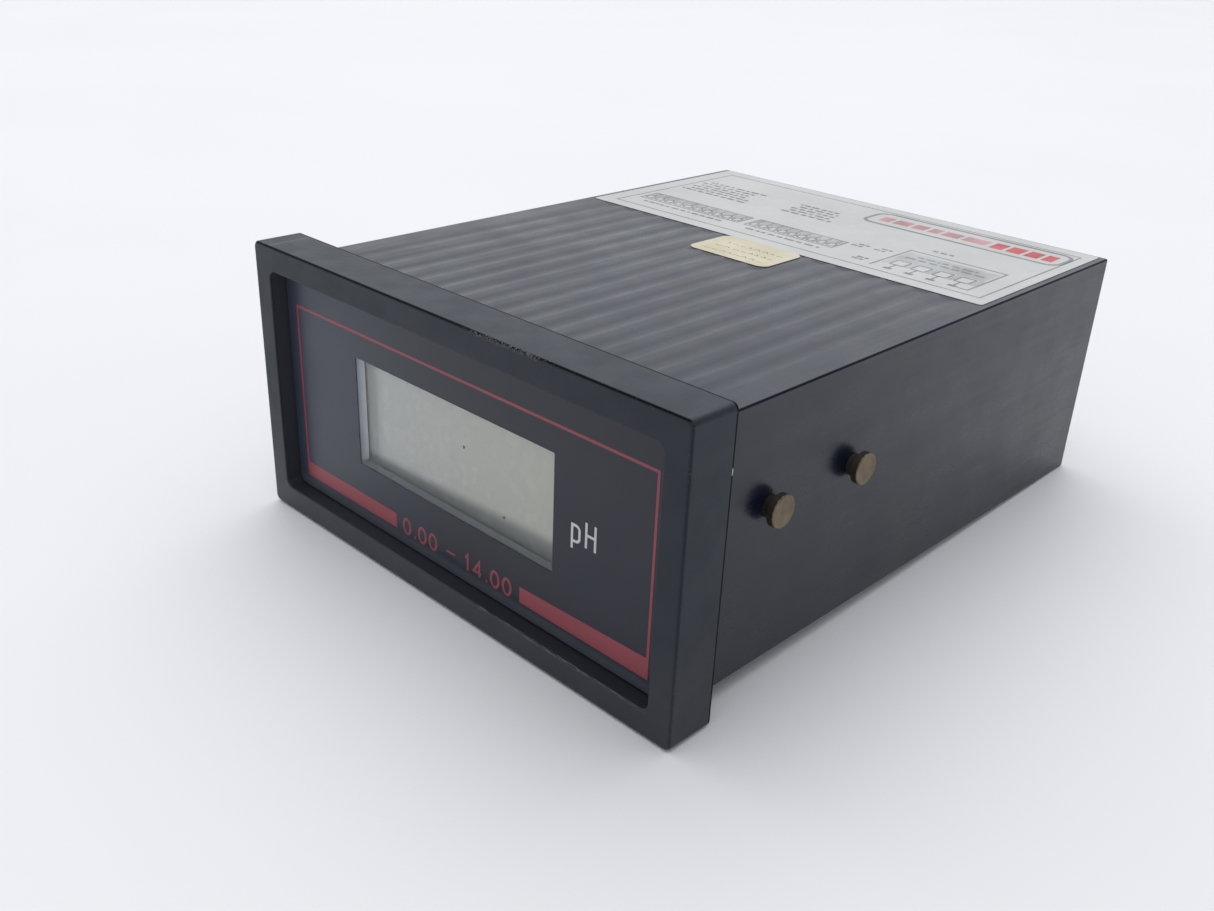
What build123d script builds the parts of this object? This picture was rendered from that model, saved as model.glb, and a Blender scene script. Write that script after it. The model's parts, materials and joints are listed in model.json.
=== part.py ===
"""A 48 x 96 panel-mount pH meter, as an assembly of separate pieces, in millimetres.

X is the meter's width, Y runs from the front to the back and Z is up.
The origin is the middle of the bezel's rear face, where the meter seats on its panel.
"""
from build123d import *
import os

# Housing
BEZEL_W = 96.0
BEZEL_H = 48.0
BEZEL_T = 8.5
BEZEL_CORNER = 1.0
BEZEL_EDGE = 0.5
CASE_W = 90.0
CASE_H = 42.0
CASE_END = 111.5
CASE_LIP = 0.5
WALL = 2.0
CASE_EDGE = 0.3
CASE_REAR_EDGE = 1.4
SLIP = 0.2

# Flutes along the top of the case
FLUTE_PITCH = 5.1
FLUTE_COUNT = 16
FLUTE_W = 4.2
FLUTE_DEPTH = 0.2

# Label and seal
LABEL_W = 87.4
LABEL_START = 66.5
LABEL_END = 109.8
FOIL = 0.1
SEAL_W = 17.5
SEAL_D = 11.6
SEAL_X = 0.3
SEAL_CORNER = 1.8
LABEL_CORNER = 0.6

# Clamp studs on both sides
STUD_Z = 4.5
STUD_Y = (12.6, 32.2)
STUD_HEAD_R = 2.5
STUD_HEAD_T = 1.3
STUD_NECK_R = 1.7
STUD_OUT = 2.5
STUD_RIVET_R = 1.5
STUD_ROLL_R = 2.3
STUD_ROLL_T = 0.8

# Front opening, printed panel and display
OPENING_W = 87.5
OPENING_H = 39.5
OPENING_CORNER = 1.5
REBATE_GAP = 0.1
RECESS = 2.8
PANEL_W = 87.0
PANEL_H = 39.0
PANEL_CORNER = 1.3
OVERLAY_T = 0.25
PLATE_T = 1.5
LEDGE = 2.0
LEDGE_T = 1.35
WINDOW_W = 46.5
WINDOW_H = 18.8
WINDOW_X = -1.2
WINDOW_Z = 0.3
CELL_W = 50.8
CELL_H = 27.0
CELL_T = 2.8
CELL_GAP = 0.1
CELL_EDGE = 0.3
FRAME_SET = 0.5
FRAME_RIM = 1.8
FRAME_SHELF = 2.0
STRIP_H = 2.2
STRIP_SET = 1.5
LEG_W = 10.0
LEG_X = 25.0
LEG_END = 7.0

# Boards
BOARD_T = 1.6
BOARD_TOP = -12.0
BOARD_W = 85.2
BOARD_START = 4.0
BOARD_END = 98.0
RAIL_T = 1.2
RAIL_REACH = 1.8
RAIL_START = 6.0
FACE_BOARD_W = 84.0
FACE_BOARD_H = 33.6
FACE_BOARD_Y = 2.0
LINK_PITCH = 2.54
LINK_PINS = 20

# Rear panel and its screws
REAR_Y = 99.5
REAR_T = 2.0
BOSS = 4.8
BOSS_MERGE = 0.4
BOSS_LENGTH = 9.0
TAPPER_R = 1.1
TAPPER_LENGTH = 9.0
TAPPER_HEAD_R = 2.2
TAPPER_HEAD_T = 1.5
CROSS_L = 2.6
CROSS_W = 0.6
CROSS_DEPTH = 0.8

# Plug-in terminals
POLE = 5.08
SIGNAL_POLES = 6
SUPPLY_POLES = 3
SIGNAL_X = -20.0
SUPPLY_X = 28.0
HEADER_START = 90.0
HEADER_END = 103.0
HEADER_H = 8.6
HEADER_WALL = 1.0
HEADER_EXTRA = 2.4
HEADER_GAP = 0.4
CAVITY_DEPTH = 9.0
PIN = 1.0
PIN_Z = -8.6
PIN_HOLE = 1.4
PIN_TAIL_Y = 88.0
PIN_END = 101.5
PIN_BORE_END = 102.0
PLUG_START = 94.3
PLUG_BODY_START = 103.3
PLUG_END = 111.0
PLUG_LOW = -13.5
PLUG_HIGH = 1.5
PLUG_CHEEK = 0.6
PLUG_EDGE = 0.4
SCREW_Y = 107.2
CLAMP_SCREW_R = 1.2
CLAMP_HEAD_R = 1.8
CLAMP_HEAD_T = 1.8
CLAMP_SUNK = 0.5
CLAMP_SLOT = 0.6
CLAMP_SLOT_DEPTH = 0.8
CAGE_W = 4.0
CAGE_D = 4.4
CAGE_H = 6.0
CAGE_SIDE = 0.7
CAGE_BAR = 1.0
CAGE_RISE = 1.8
CONTACT_W = 2.4
CONTACT_T = 0.8
CONTACT_START = 95.1
CONTACT_END = 109.1
WIRE_R = 1.3
RUNNING = 0.06

# Worked out from the above
CASE_SIDE = CASE_W / 2
CASE_TOP = CASE_H / 2
INNER_X = CASE_SIDE - WALL
INNER_Z = CASE_TOP - WALL
BEZEL_FRONT = -BEZEL_T
OVERLAY_Y = BEZEL_FRONT + RECESS
PLATE_Y = OVERLAY_Y + OVERLAY_T
PLATE_BACK = PLATE_Y + PLATE_T
LEDGE_BACK = PLATE_BACK + LEDGE_T
CELL_Y = PLATE_BACK + CELL_GAP
CELL_BACK = CELL_Y + CELL_T
FACE_BOARD_BACK = FACE_BOARD_Y + BOARD_T
BOARD_BOTTOM = BOARD_TOP - BOARD_T
CONTACT_LOW = PIN_Z + PIN / 2 + SLIP
CONTACT_TOP = CONTACT_LOW + CONTACT_T
CAGE_TOP = CONTACT_TOP + SLIP + CAGE_BAR
CAGE_LOW = CAGE_TOP - CAGE_H
SCREW_TIP = CONTACT_TOP + 0.1
SCREW_TOP = PLUG_HIGH - CLAMP_SUNK
TAIL_END = BOARD_BOTTOM - 1.2

os.makedirs("parts", exist_ok=True)


def at_y(y):
    """The upright plane at this depth; a sketch on it is seen from the front."""
    return Plane.XZ.offset(-y)


def block(low, high, mode=Mode.ADD):
    """Add a box, from its low corner to its high one, to the part being built."""
    size = [b - a for a, b in zip(low, high)]
    with Locations(low):
        Box(*size, align=(Align.MIN, Align.MIN, Align.MIN), mode=mode)


def slab(width, height, start, end, corner=0.0, centre=(0, 0), mode=Mode.ADD):
    """Add an upright plate between two depths, its corners rounded, to the part."""
    with BuildSketch(at_y(start)) as outline:
        with Locations(centre):
            if corner:
                RectangleRounded(width, height, corner)
            else:
                Rectangle(width, height)
    extrude(outline.sketch, amount=start - end, mode=mode)


def save(piece, name):
    """Label a finished piece and write its file."""
    piece.part.label = name
    export_step(piece.part, f"parts/{name}.step")


def pole_places(poles, middle):
    """The X of each pole of a terminal strip."""
    return [middle + POLE * (i - (poles - 1) / 2) for i in range(poles)]


# ---------------------------------------------------------------- housing

# Case: a sleeve open at both ends, with board rails and screw bosses inside
flute_radius = (FLUTE_W**2 / 4 + FLUTE_DEPTH**2) / (2 * FLUTE_DEPTH)
boss_x = INNER_X - BOSS / 2
boss_z = INNER_Z - BOSS / 2
with BuildPart() as case_shell:
    slab(CASE_W, CASE_H, -CASE_LIP, CASE_END, CASE_EDGE)
    fillet(case_shell.faces().sort_by(Axis.Y)[-1].edges(), CASE_REAR_EDGE)
    slab(2 * INNER_X, 2 * INNER_Z, -CASE_LIP, CASE_END, 0.5, mode=Mode.SUBTRACT)
    with BuildSketch(at_y(-CASE_LIP)):
        with Locations((0, CASE_TOP - FLUTE_DEPTH + flute_radius)):
            with GridLocations(FLUTE_PITCH, 1, FLUTE_COUNT, 1):
                Circle(flute_radius)
    extrude(amount=-CASE_LIP - LABEL_START, mode=Mode.SUBTRACT)
    for side in (-1, 1):
        inner, outer = sorted((side * (INNER_X - RAIL_REACH), side * (INNER_X + WALL / 2)))
        for low in (BOARD_BOTTOM - SLIP - RAIL_T, BOARD_TOP + SLIP):
            block((inner, RAIL_START, low), (outer, BOARD_END, low + RAIL_T))
    with BuildSketch(at_y(REAR_Y - BOSS_LENGTH)):
        with GridLocations(2 * boss_x, 2 * boss_z, 2, 2):
            Rectangle(BOSS + BOSS_MERGE, BOSS + BOSS_MERGE)
    extrude(amount=-BOSS_LENGTH)
    with BuildSketch(at_y(REAR_Y - BOSS_LENGTH)):
        with GridLocations(2 * boss_x, 2 * boss_z, 2, 2):
            Circle(TAPPER_R)
    extrude(amount=-BOSS_LENGTH, mode=Mode.SUBTRACT)
    with BuildSketch(Plane.YZ.offset(-CASE_SIDE)):
        for y in STUD_Y:
            with Locations((y, STUD_Z)):
                Circle(STUD_RIVET_R)
    extrude(amount=CASE_W, mode=Mode.SUBTRACT)
save(case_shell, "case_shell")

# Rear panel, with an opening for each header
with BuildPart() as rear_panel:
    slab(2 * (INNER_X - SLIP), 2 * (INNER_Z - SLIP), REAR_Y, REAR_Y + REAR_T, 0.5)
    for poles, middle in ((SIGNAL_POLES, SIGNAL_X), (SUPPLY_POLES, SUPPLY_X)):
        slab(
            poles * POLE + HEADER_EXTRA + 2 * HEADER_GAP,
            HEADER_H + 2 * HEADER_GAP,
            REAR_Y,
            REAR_Y + REAR_T,
            centre=(middle, BOARD_TOP + HEADER_H / 2),
            mode=Mode.SUBTRACT,
        )
    with BuildSketch(at_y(REAR_Y)):
        with GridLocations(2 * boss_x, 2 * boss_z, 2, 2):
            Circle(TAPPER_R + SLIP)
    extrude(amount=-REAR_T, mode=Mode.SUBTRACT)
save(rear_panel, "rear_panel")

# Four pan-head screws that hold the rear panel to the bosses
with BuildPart() as rear_screws:
    with BuildSketch(at_y(REAR_Y + REAR_T)):
        with GridLocations(2 * boss_x, 2 * boss_z, 2, 2):
            Circle(TAPPER_R)
    extrude(amount=TAPPER_LENGTH)
    with BuildSketch(at_y(REAR_Y + REAR_T)):
        with GridLocations(2 * boss_x, 2 * boss_z, 2, 2):
            Circle(TAPPER_HEAD_R)
    extrude(amount=-TAPPER_HEAD_T)
    fillet(rear_screws.faces().group_by(Axis.Y)[-1].edges(), 0.5)
    with BuildSketch(at_y(REAR_Y + REAR_T + TAPPER_HEAD_T)):
        with GridLocations(2 * boss_x, 2 * boss_z, 2, 2):
            Rectangle(CROSS_L, CROSS_W)
            Rectangle(CROSS_W, CROSS_L)
    extrude(amount=CROSS_DEPTH, mode=Mode.SUBTRACT)
save(rear_screws, "rear_screws")

# Brass studs riveted through the case's sides, for the panel clamps to hook on
stud_steps = (
    (INNER_X - STUD_ROLL_T, STUD_ROLL_R, STUD_ROLL_T),
    (INNER_X, STUD_RIVET_R, WALL),
    (CASE_SIDE, STUD_NECK_R, STUD_OUT - STUD_HEAD_T),
    (CASE_SIDE + STUD_OUT - STUD_HEAD_T, STUD_HEAD_R, STUD_HEAD_T),
)
with BuildPart() as clamp_studs:
    for side in (-1, 1):
        for y in STUD_Y:
            for reach, radius, length in stud_steps:
                seat = Plane((side * reach, y, STUD_Z), x_dir=(0, 1, 0), z_dir=(side, 0, 0))
                with BuildSketch(seat):
                    Circle(radius)
                extrude(amount=length)
save(clamp_studs, "clamp_studs")

# Type label and calibration seal on the case's top
with BuildPart() as type_label:
    with BuildSketch(Plane.XY.offset(CASE_TOP)):
        with Locations((0, (LABEL_START + LABEL_END) / 2)):
            RectangleRounded(LABEL_W, LABEL_END - LABEL_START, LABEL_CORNER)
    extrude(amount=FOIL)
save(type_label, "type_label")

with BuildPart() as seal_sticker:
    with BuildSketch(Plane.XY.offset(CASE_TOP)):
        with Locations((SEAL_X, LABEL_START - SEAL_D / 2)):
            RectangleRounded(SEAL_W, SEAL_D, SEAL_CORNER)
    extrude(amount=FOIL)
save(seal_sticker, "seal_sticker")

# ---------------------------------------------------------------- front

# Bezel: a frame with a recess for the panel, a rebate for the case and four legs
leg_low = OPENING_H / 2 - LEDGE
with BuildPart() as bezel_frame:
    slab(BEZEL_W, BEZEL_H, BEZEL_FRONT, 0, BEZEL_CORNER)
    fillet(bezel_frame.faces().sort_by(Axis.Y)[0].edges(), BEZEL_EDGE)
    slab(OPENING_W, OPENING_H, BEZEL_FRONT, PLATE_BACK, OPENING_CORNER, mode=Mode.SUBTRACT)
    slab(OPENING_W - 2 * LEDGE, OPENING_H - 2 * LEDGE, PLATE_BACK, LEDGE_BACK, 1.0, mode=Mode.SUBTRACT)
    slab(2 * INNER_X, 2 * INNER_Z, LEDGE_BACK, 0, 1.0, mode=Mode.SUBTRACT)
    slab(
        CASE_W + 2 * SLIP,
        CASE_H + 2 * SLIP,
        -CASE_LIP - REBATE_GAP,
        0,
        CASE_EDGE + SLIP,
        mode=Mode.SUBTRACT,
    )
    for x in (-LEG_X, LEG_X):
        for low, high in ((leg_low, INNER_Z - SLIP), (SLIP - INNER_Z, -leg_low)):
            block((x - LEG_W / 2, LEDGE_BACK, low), (x + LEG_W / 2, LEG_END, high))
save(bezel_frame, "bezel_frame")

# Front panel: a plate with the display window, and the printed foil on it
with BuildPart() as panel_plate:
    slab(PANEL_W, PANEL_H, PLATE_Y, PLATE_BACK, PANEL_CORNER)
    slab(WINDOW_W, WINDOW_H, PLATE_Y, PLATE_BACK, centre=(WINDOW_X, WINDOW_Z), mode=Mode.SUBTRACT)
save(panel_plate, "panel_plate")

with BuildPart() as panel_overlay:
    slab(PANEL_W, PANEL_H, OVERLAY_Y, PLATE_Y, PANEL_CORNER)
save(panel_overlay, "panel_overlay")

# ---------------------------------------------------------------- display

# Liquid crystal cell, the frame round it and the rubber contact strips behind it
window = (WINDOW_X, WINDOW_Z)
frame_y = CELL_Y + FRAME_SET
frame_w = CELL_W + 2 * FRAME_RIM
frame_h = CELL_H + 2 * FRAME_RIM
seat_w = CELL_W + SLIP
seat_h = CELL_H + SLIP
shelf_w = CELL_W - 2 * FRAME_SHELF + SLIP
strip_z = CELL_H / 2 - STRIP_SET
with BuildPart() as lcd_cell:
    slab(CELL_W, CELL_H, CELL_Y, CELL_BACK, centre=window)
    chamfer(lcd_cell.faces().sort_by(Axis.Y)[0].edges(), CELL_EDGE)
save(lcd_cell, "lcd_cell")

with BuildPart() as lcd_frame:
    slab(frame_w, frame_h, frame_y, FACE_BOARD_Y, 1.0, window)
    slab(seat_w, seat_h, frame_y, CELL_BACK, centre=window, mode=Mode.SUBTRACT)
    slab(shelf_w, seat_h, CELL_BACK, FACE_BOARD_Y, centre=window, mode=Mode.SUBTRACT)
save(lcd_frame, "lcd_frame")

with BuildPart() as contact_strips:
    for z in (WINDOW_Z - strip_z, WINDOW_Z + strip_z):
        slab(shelf_w - 3 * SLIP, STRIP_H, CELL_BACK, FACE_BOARD_Y, centre=(WINDOW_X, z))
save(contact_strips, "contact_strips")

# Display board, upright behind the front panel
LINK_HOLE = 1.0
BRACKET_X = 36.5
BRACKET_HOLE_R = 1.1
BRACKET_REACH = 6.0
link_z = BOARD_TOP + LINK_PITCH / 2
bracket_screw_z = BOARD_TOP + BRACKET_REACH
bracket_screw_y = FACE_BOARD_BACK + BRACKET_REACH
with BuildPart() as display_board:
    slab(FACE_BOARD_W, FACE_BOARD_H, FACE_BOARD_Y, FACE_BOARD_BACK, 1.0)
    with BuildSketch(at_y(FACE_BOARD_Y)):
        with Locations((0, link_z)):
            with GridLocations(LINK_PITCH, 1, LINK_PINS, 1):
                Rectangle(LINK_HOLE, LINK_HOLE)
        with Locations((-BRACKET_X, bracket_screw_z), (BRACKET_X, bracket_screw_z)):
            Circle(BRACKET_HOLE_R)
    extrude(amount=-BOARD_T, mode=Mode.SUBTRACT)
save(display_board, "display_board")

# Zero and span trimmers on the display board, each with an adjusting screw
TRIMMER_X = 34.5
TRIMMER_SIZE = 6.8
TRIMMER_T = 4.6
TRIMMER_SCREW_R = 1.1
TRIMMER_SCREW_L = 2.3
TRIMMER_BORE = 2.0
TRIMMER_PROUD = 0.5
TRIMMER_SLOT = 0.45
trimmer_front = FACE_BOARD_Y - TRIMMER_T
trimmers = {"zero": 9.0, "span": -0.5}
with BuildPart() as trimmer_bodies:
    for z in trimmers.values():
        slab(TRIMMER_SIZE, TRIMMER_SIZE, trimmer_front, FACE_BOARD_Y, 0.4, (TRIMMER_X, z))
        with BuildSketch(at_y(trimmer_front)):
            with Locations((TRIMMER_X, z)):
                Circle(TRIMMER_SCREW_R + RUNNING)
        extrude(amount=-TRIMMER_BORE, mode=Mode.SUBTRACT)
save(trimmer_bodies, "trimmer_bodies")

for name, z in trimmers.items():
    with BuildPart() as trimmer_screw:
        with BuildSketch(at_y(trimmer_front - TRIMMER_PROUD)):
            with Locations((TRIMMER_X, z)):
                Circle(TRIMMER_SCREW_R)
        extrude(amount=-TRIMMER_SCREW_L)
        with BuildSketch(at_y(trimmer_front - TRIMMER_PROUD)):
            with Locations((TRIMMER_X, z)):
                Rectangle(2 * TRIMMER_SCREW_R + 1, TRIMMER_SLOT)
        extrude(amount=-TRIMMER_PROUD, mode=Mode.SUBTRACT)
    save(trimmer_screw, f"{name}_screw")

# ---------------------------------------------------------------- main board

LINK_Y = BOARD_START + 2.0
with BuildPart() as main_board:
    block((-BOARD_W / 2, BOARD_START, BOARD_BOTTOM), (BOARD_W / 2, BOARD_END, BOARD_TOP))
    with BuildSketch(Plane.XY.offset(BOARD_BOTTOM)):
        with Locations((0, LINK_Y)):
            with GridLocations(LINK_PITCH, 1, LINK_PINS, 1):
                Rectangle(LINK_HOLE, LINK_HOLE)
        with Locations((-BRACKET_X, bracket_screw_y), (BRACKET_X, bracket_screw_y)):
            Circle(BRACKET_HOLE_R)
        for poles, middle in ((SIGNAL_POLES, SIGNAL_X), (SUPPLY_POLES, SUPPLY_X)):
            with Locations(*[(x, PIN_TAIL_Y) for x in pole_places(poles, middle)]):
                Rectangle(PIN_HOLE, PIN_HOLE)
    extrude(amount=BOARD_T, mode=Mode.SUBTRACT)
save(main_board, "main_board")

# Right-angle pin strip that joins the two boards
LINK_PIN = 0.64
LINK_DEPTH = 3.44
with BuildPart() as board_link:
    strip_w = LINK_PINS * LINK_PITCH
    block(
        (-strip_w / 2, FACE_BOARD_BACK, BOARD_TOP),
        (strip_w / 2, FACE_BOARD_BACK + LINK_DEPTH, BOARD_TOP + LINK_PITCH),
    )
    half = LINK_PIN / 2
    for i in range(LINK_PINS):
        x = LINK_PITCH * (i - (LINK_PINS - 1) / 2)
        block((x - half, FACE_BOARD_Y, link_z - half), (x + half, LINK_Y, link_z + half))
        block((x - half, LINK_Y - half, TAIL_END), (x + half, LINK_Y + half, link_z))
save(board_link, "board_link")

# Two corner brackets between the boards, and their four screws
BRACKET_W = 7.0
BRACKET_L = 9.0
BRACKET_T = 1.0
BRACKET_HEAD_R = 1.9
BRACKET_HEAD_T = 1.2
BRACKET_SHANK_R = 1.0
BRACKET_SHANK_L = 3.2
with BuildPart() as corner_brackets:
    for x in (-BRACKET_X, BRACKET_X):
        low, high = x - BRACKET_W / 2, x + BRACKET_W / 2
        corner = (low, FACE_BOARD_BACK, BOARD_TOP)
        block(corner, (high, FACE_BOARD_BACK + BRACKET_T, BOARD_TOP + BRACKET_L))
        block(corner, (high, FACE_BOARD_BACK + BRACKET_L, BOARD_TOP + BRACKET_T))
    with BuildSketch(at_y(FACE_BOARD_BACK)):
        with Locations((-BRACKET_X, bracket_screw_z), (BRACKET_X, bracket_screw_z)):
            Circle(BRACKET_HOLE_R)
    extrude(amount=-BRACKET_T, mode=Mode.SUBTRACT)
    with BuildSketch(Plane.XY.offset(BOARD_TOP)):
        with Locations((-BRACKET_X, bracket_screw_y), (BRACKET_X, bracket_screw_y)):
            Circle(BRACKET_HOLE_R)
    extrude(amount=BRACKET_T, mode=Mode.SUBTRACT)
save(corner_brackets, "corner_brackets")

with BuildPart() as bracket_screws:
    for x in (-BRACKET_X, BRACKET_X):
        upright = at_y(FACE_BOARD_BACK + BRACKET_T)
        flat = Plane.XY.offset(BOARD_TOP + BRACKET_T)
        for seat, place, up in (
            (upright, (x, bracket_screw_z), -1),
            (flat, (x, bracket_screw_y), 1),
        ):
            with BuildSketch(seat):
                with Locations(place):
                    Circle(BRACKET_HEAD_R)
            extrude(amount=up * BRACKET_HEAD_T)
            with BuildSketch(seat):
                with Locations(place):
                    Circle(BRACKET_SHANK_R)
            extrude(amount=-up * BRACKET_SHANK_L)
save(bracket_screws, "bracket_screws")

# Mains transformer: laminated core with two windows, and the wound bobbin on its middle leg
CORE_X = -20.0
CORE_Y = 68.0
CORE_W = 30.0
CORE_D = 14.0
CORE_LOW = BOARD_TOP + 1.0
CORE_HIGH = CORE_LOW + 25.0
CORE_EDGE = 0.5
LEG = 10.0
YOKE = 5.0
with BuildPart() as transformer_core:
    block(
        (CORE_X - CORE_W / 2, CORE_Y - CORE_D / 2, CORE_LOW),
        (CORE_X + CORE_W / 2, CORE_Y + CORE_D / 2, CORE_HIGH),
    )
    chamfer(transformer_core.edges().filter_by(Axis.Y), CORE_EDGE)
    with BuildSketch(at_y(CORE_Y - CORE_D / 2)):
        for side in (-1, 1):
            with Locations((CORE_X + side * (LEG + YOKE) / 2, (CORE_LOW + CORE_HIGH) / 2)):
                Rectangle(YOKE, CORE_HIGH - CORE_LOW - 2 * YOKE)
    extrude(amount=-CORE_D, mode=Mode.SUBTRACT)
save(transformer_core, "transformer_core")

COIL_OUT = 4.8
COIL_EDGE = 2.0
FOOT_OUT = 3.0
coil_low = CORE_LOW + YOKE + SLIP
coil_high = CORE_HIGH - YOKE - SLIP
coil_half = LEG / 2 + YOKE - SLIP
coil_reach = CORE_D / 2 + COIL_OUT
with BuildPart() as transformer_coil:
    block(
        (CORE_X - coil_half, CORE_Y - coil_reach, coil_low),
        (CORE_X + coil_half, CORE_Y + coil_reach, coil_high),
    )
    fillet(transformer_coil.edges().filter_by(Axis.Z), COIL_EDGE)
    for side in (-1, 1):
        near, far = sorted((side * (CORE_D / 2 + SLIP), side * coil_reach))
        block(
            (CORE_X - coil_half - FOOT_OUT, CORE_Y + near, BOARD_TOP),
            (CORE_X + coil_half + FOOT_OUT, CORE_Y + far, coil_low),
        )
    block(
        (CORE_X - LEG / 2 - SLIP / 2, CORE_Y - CORE_D / 2 - SLIP / 2, BOARD_TOP),
        (CORE_X + LEG / 2 + SLIP / 2, CORE_Y + CORE_D / 2 + SLIP / 2, coil_high),
        mode=Mode.SUBTRACT,
    )
save(transformer_coil, "transformer_coil")

# Two smoothing capacitors
CAPACITOR_PLACES = ((8.0, 60.0), (8.0, 73.0))
CAPACITOR_R = 5.0
CAPACITOR_H = 17.0
CAPACITOR_EDGE = 0.8
with BuildPart() as smoothing_capacitors:
    with BuildSketch(Plane.XY.offset(BOARD_TOP)):
        with Locations(*CAPACITOR_PLACES):
            Circle(CAPACITOR_R)
    extrude(amount=CAPACITOR_H)
    fillet(smoothing_capacitors.faces().group_by(Axis.Z)[-1].edges(), CAPACITOR_EDGE)
save(smoothing_capacitors, "smoothing_capacitors")

# Bridge rectifier on four leads
BRIDGE_X = 8.3
BRIDGE_Y = 49.2
BRIDGE_W = 8.6
BRIDGE_D = 6.4
BRIDGE_LOW = BOARD_TOP + 0.6
BRIDGE_HIGH = BOARD_TOP + 3.8
BRIDGE_LEAD = 0.6
with BuildPart() as bridge_rectifier:
    block(
        (BRIDGE_X - BRIDGE_W / 2, BRIDGE_Y - BRIDGE_D / 2, BRIDGE_LOW),
        (BRIDGE_X + BRIDGE_W / 2, BRIDGE_Y + BRIDGE_D / 2, BRIDGE_HIGH),
    )
    chamfer(bridge_rectifier.faces().sort_by(Axis.Z)[-1].edges(), 0.4)
    for x in (BRIDGE_X - LINK_PITCH, BRIDGE_X + LINK_PITCH):
        for y in (BRIDGE_Y - BRIDGE_D / 2 - BRIDGE_LEAD, BRIDGE_Y + BRIDGE_D / 2):
            low = (x - BRIDGE_LEAD / 2, y, BOARD_TOP)
            block(low, (x + BRIDGE_LEAD / 2, y + BRIDGE_LEAD, BRIDGE_LOW + BRIDGE_D / 4))
save(bridge_rectifier, "bridge_rectifier")

# Voltage regulator on a finned heat sink
SINK_X = 29.0
SINK_Y = 60.5
SINK_W = 18.0
SINK_T = 1.5
SINK_H = 20.0
FIN_COUNT = 4
FIN_T = 1.2
FIN_L = 9.5
fin_pitch = (SINK_W - FIN_T) / (FIN_COUNT - 1)
with BuildPart() as heat_sink:
    left = SINK_X - SINK_W / 2
    block((left, SINK_Y, BOARD_TOP), (left + SINK_W, SINK_Y + SINK_T, BOARD_TOP + SINK_H))
    for i in range(FIN_COUNT):
        x = left + i * fin_pitch
        block((x, SINK_Y, BOARD_TOP), (x + FIN_T, SINK_Y + FIN_L, BOARD_TOP + SINK_H))
save(heat_sink, "heat_sink")

REGULATOR_W = 10.0
REGULATOR_T = 4.4
REGULATOR_LOW = BOARD_TOP + 4.0
REGULATOR_HIGH = BOARD_TOP + 13.0
TAB_T = 1.3
TAB_HIGH = BOARD_TOP + 19.0
REGULATOR_LEAD_Y = SINK_Y - 3.0
REGULATOR_LEAD_W = 0.8
REGULATOR_LEAD_T = 0.5
with BuildPart() as regulator:
    left, right = SINK_X - REGULATOR_W / 2, SINK_X + REGULATOR_W / 2
    block((left, SINK_Y - REGULATOR_T, REGULATOR_LOW), (right, SINK_Y - TAB_T, REGULATOR_HIGH))
    chamfer(regulator.faces().sort_by(Axis.Y)[0].edges(), 0.5)
    block((left, SINK_Y - TAB_T, REGULATOR_LOW), (right, SINK_Y, TAB_HIGH))
    for x in (SINK_X - LINK_PITCH, SINK_X, SINK_X + LINK_PITCH):
        low = (x - REGULATOR_LEAD_W / 2, REGULATOR_LEAD_Y, BOARD_TOP)
        high = (x + REGULATOR_LEAD_W / 2, REGULATOR_LEAD_Y + REGULATOR_LEAD_T, REGULATOR_LOW)
        block(low, high)
save(regulator, "regulator")

# Supply fuse: a glass tube with two caps, in two spring clips
FUSE_X = 29.0
FUSE_Y = 80.0
FUSE_Z = BOARD_TOP + 5.0
FUSE_L = 20.0
FUSE_CAP_R = 2.6
FUSE_CAP_L = 5.5
FUSE_GLASS_R = 2.3
CLIP_W = 4.5
CLIP_T = 0.6
CLIP_SET = 0.5
CLIP_HIGH = FUSE_Z + 1.5
with BuildPart() as fuse_tube:
    for start in (FUSE_X - FUSE_L / 2, FUSE_X + FUSE_L / 2 - FUSE_CAP_L):
        with BuildSketch(Plane.YZ.offset(start)):
            with Locations((FUSE_Y, FUSE_Z)):
                Circle(FUSE_CAP_R)
        extrude(amount=FUSE_CAP_L)
    with BuildSketch(Plane.YZ.offset(FUSE_X - FUSE_L / 2 + FUSE_CAP_L)):
        with Locations((FUSE_Y, FUSE_Z)):
            Circle(FUSE_GLASS_R)
    extrude(amount=FUSE_L - 2 * FUSE_CAP_L)
save(fuse_tube, "fuse_tube")

with BuildPart() as fuse_clips:
    for x in (FUSE_X - FUSE_L / 2 + CLIP_SET, FUSE_X + FUSE_L / 2 - CLIP_SET - CLIP_W):
        near, far = FUSE_Y - FUSE_CAP_R - CLIP_T, FUSE_Y + FUSE_CAP_R
        block((x, near, BOARD_TOP), (x + CLIP_W, far + CLIP_T, BOARD_TOP + CLIP_T))
        for low in (near, far):
            block((x, low, BOARD_TOP), (x + CLIP_W, low + CLIP_T, CLIP_HIGH))
save(fuse_clips, "fuse_clips")

# Chips, all dual in line
CHIP_LOW = BOARD_TOP + 0.5
CHIP_HIGH = BOARD_TOP + 4.0
CHIP_LEAD_W = 1.0
CHIP_LEAD_T = 0.6
CHIP_SHOULDER = BOARD_TOP + 2.3
ADC_PLACE = (-10.0, 24.0)
AMPLIFIER_PLACES = ((29.0, 18.0), (29.0, 30.0))


def chip(middle, width, span, pins):
    """Add a dual-in-line chip standing on the main board to the part being built."""
    x, y = middle
    rows = (y - span / 2, y + span / 2 - CHIP_LEAD_T)
    block((x - width / 2, rows[0] + CHIP_LEAD_T, CHIP_LOW), (x + width / 2, rows[1], CHIP_HIGH))
    for i in range(pins // 2):
        lead = x + LINK_PITCH * (i - (pins / 2 - 1) / 2)
        for row in rows:
            low = (lead - CHIP_LEAD_W / 2, row, BOARD_TOP)
            block(low, (lead + CHIP_LEAD_W / 2, row + CHIP_LEAD_T, CHIP_SHOULDER))


with BuildPart() as adc_chip:
    chip(ADC_PLACE, 51.8, 15.2, 40)
save(adc_chip, "adc_chip")

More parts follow.
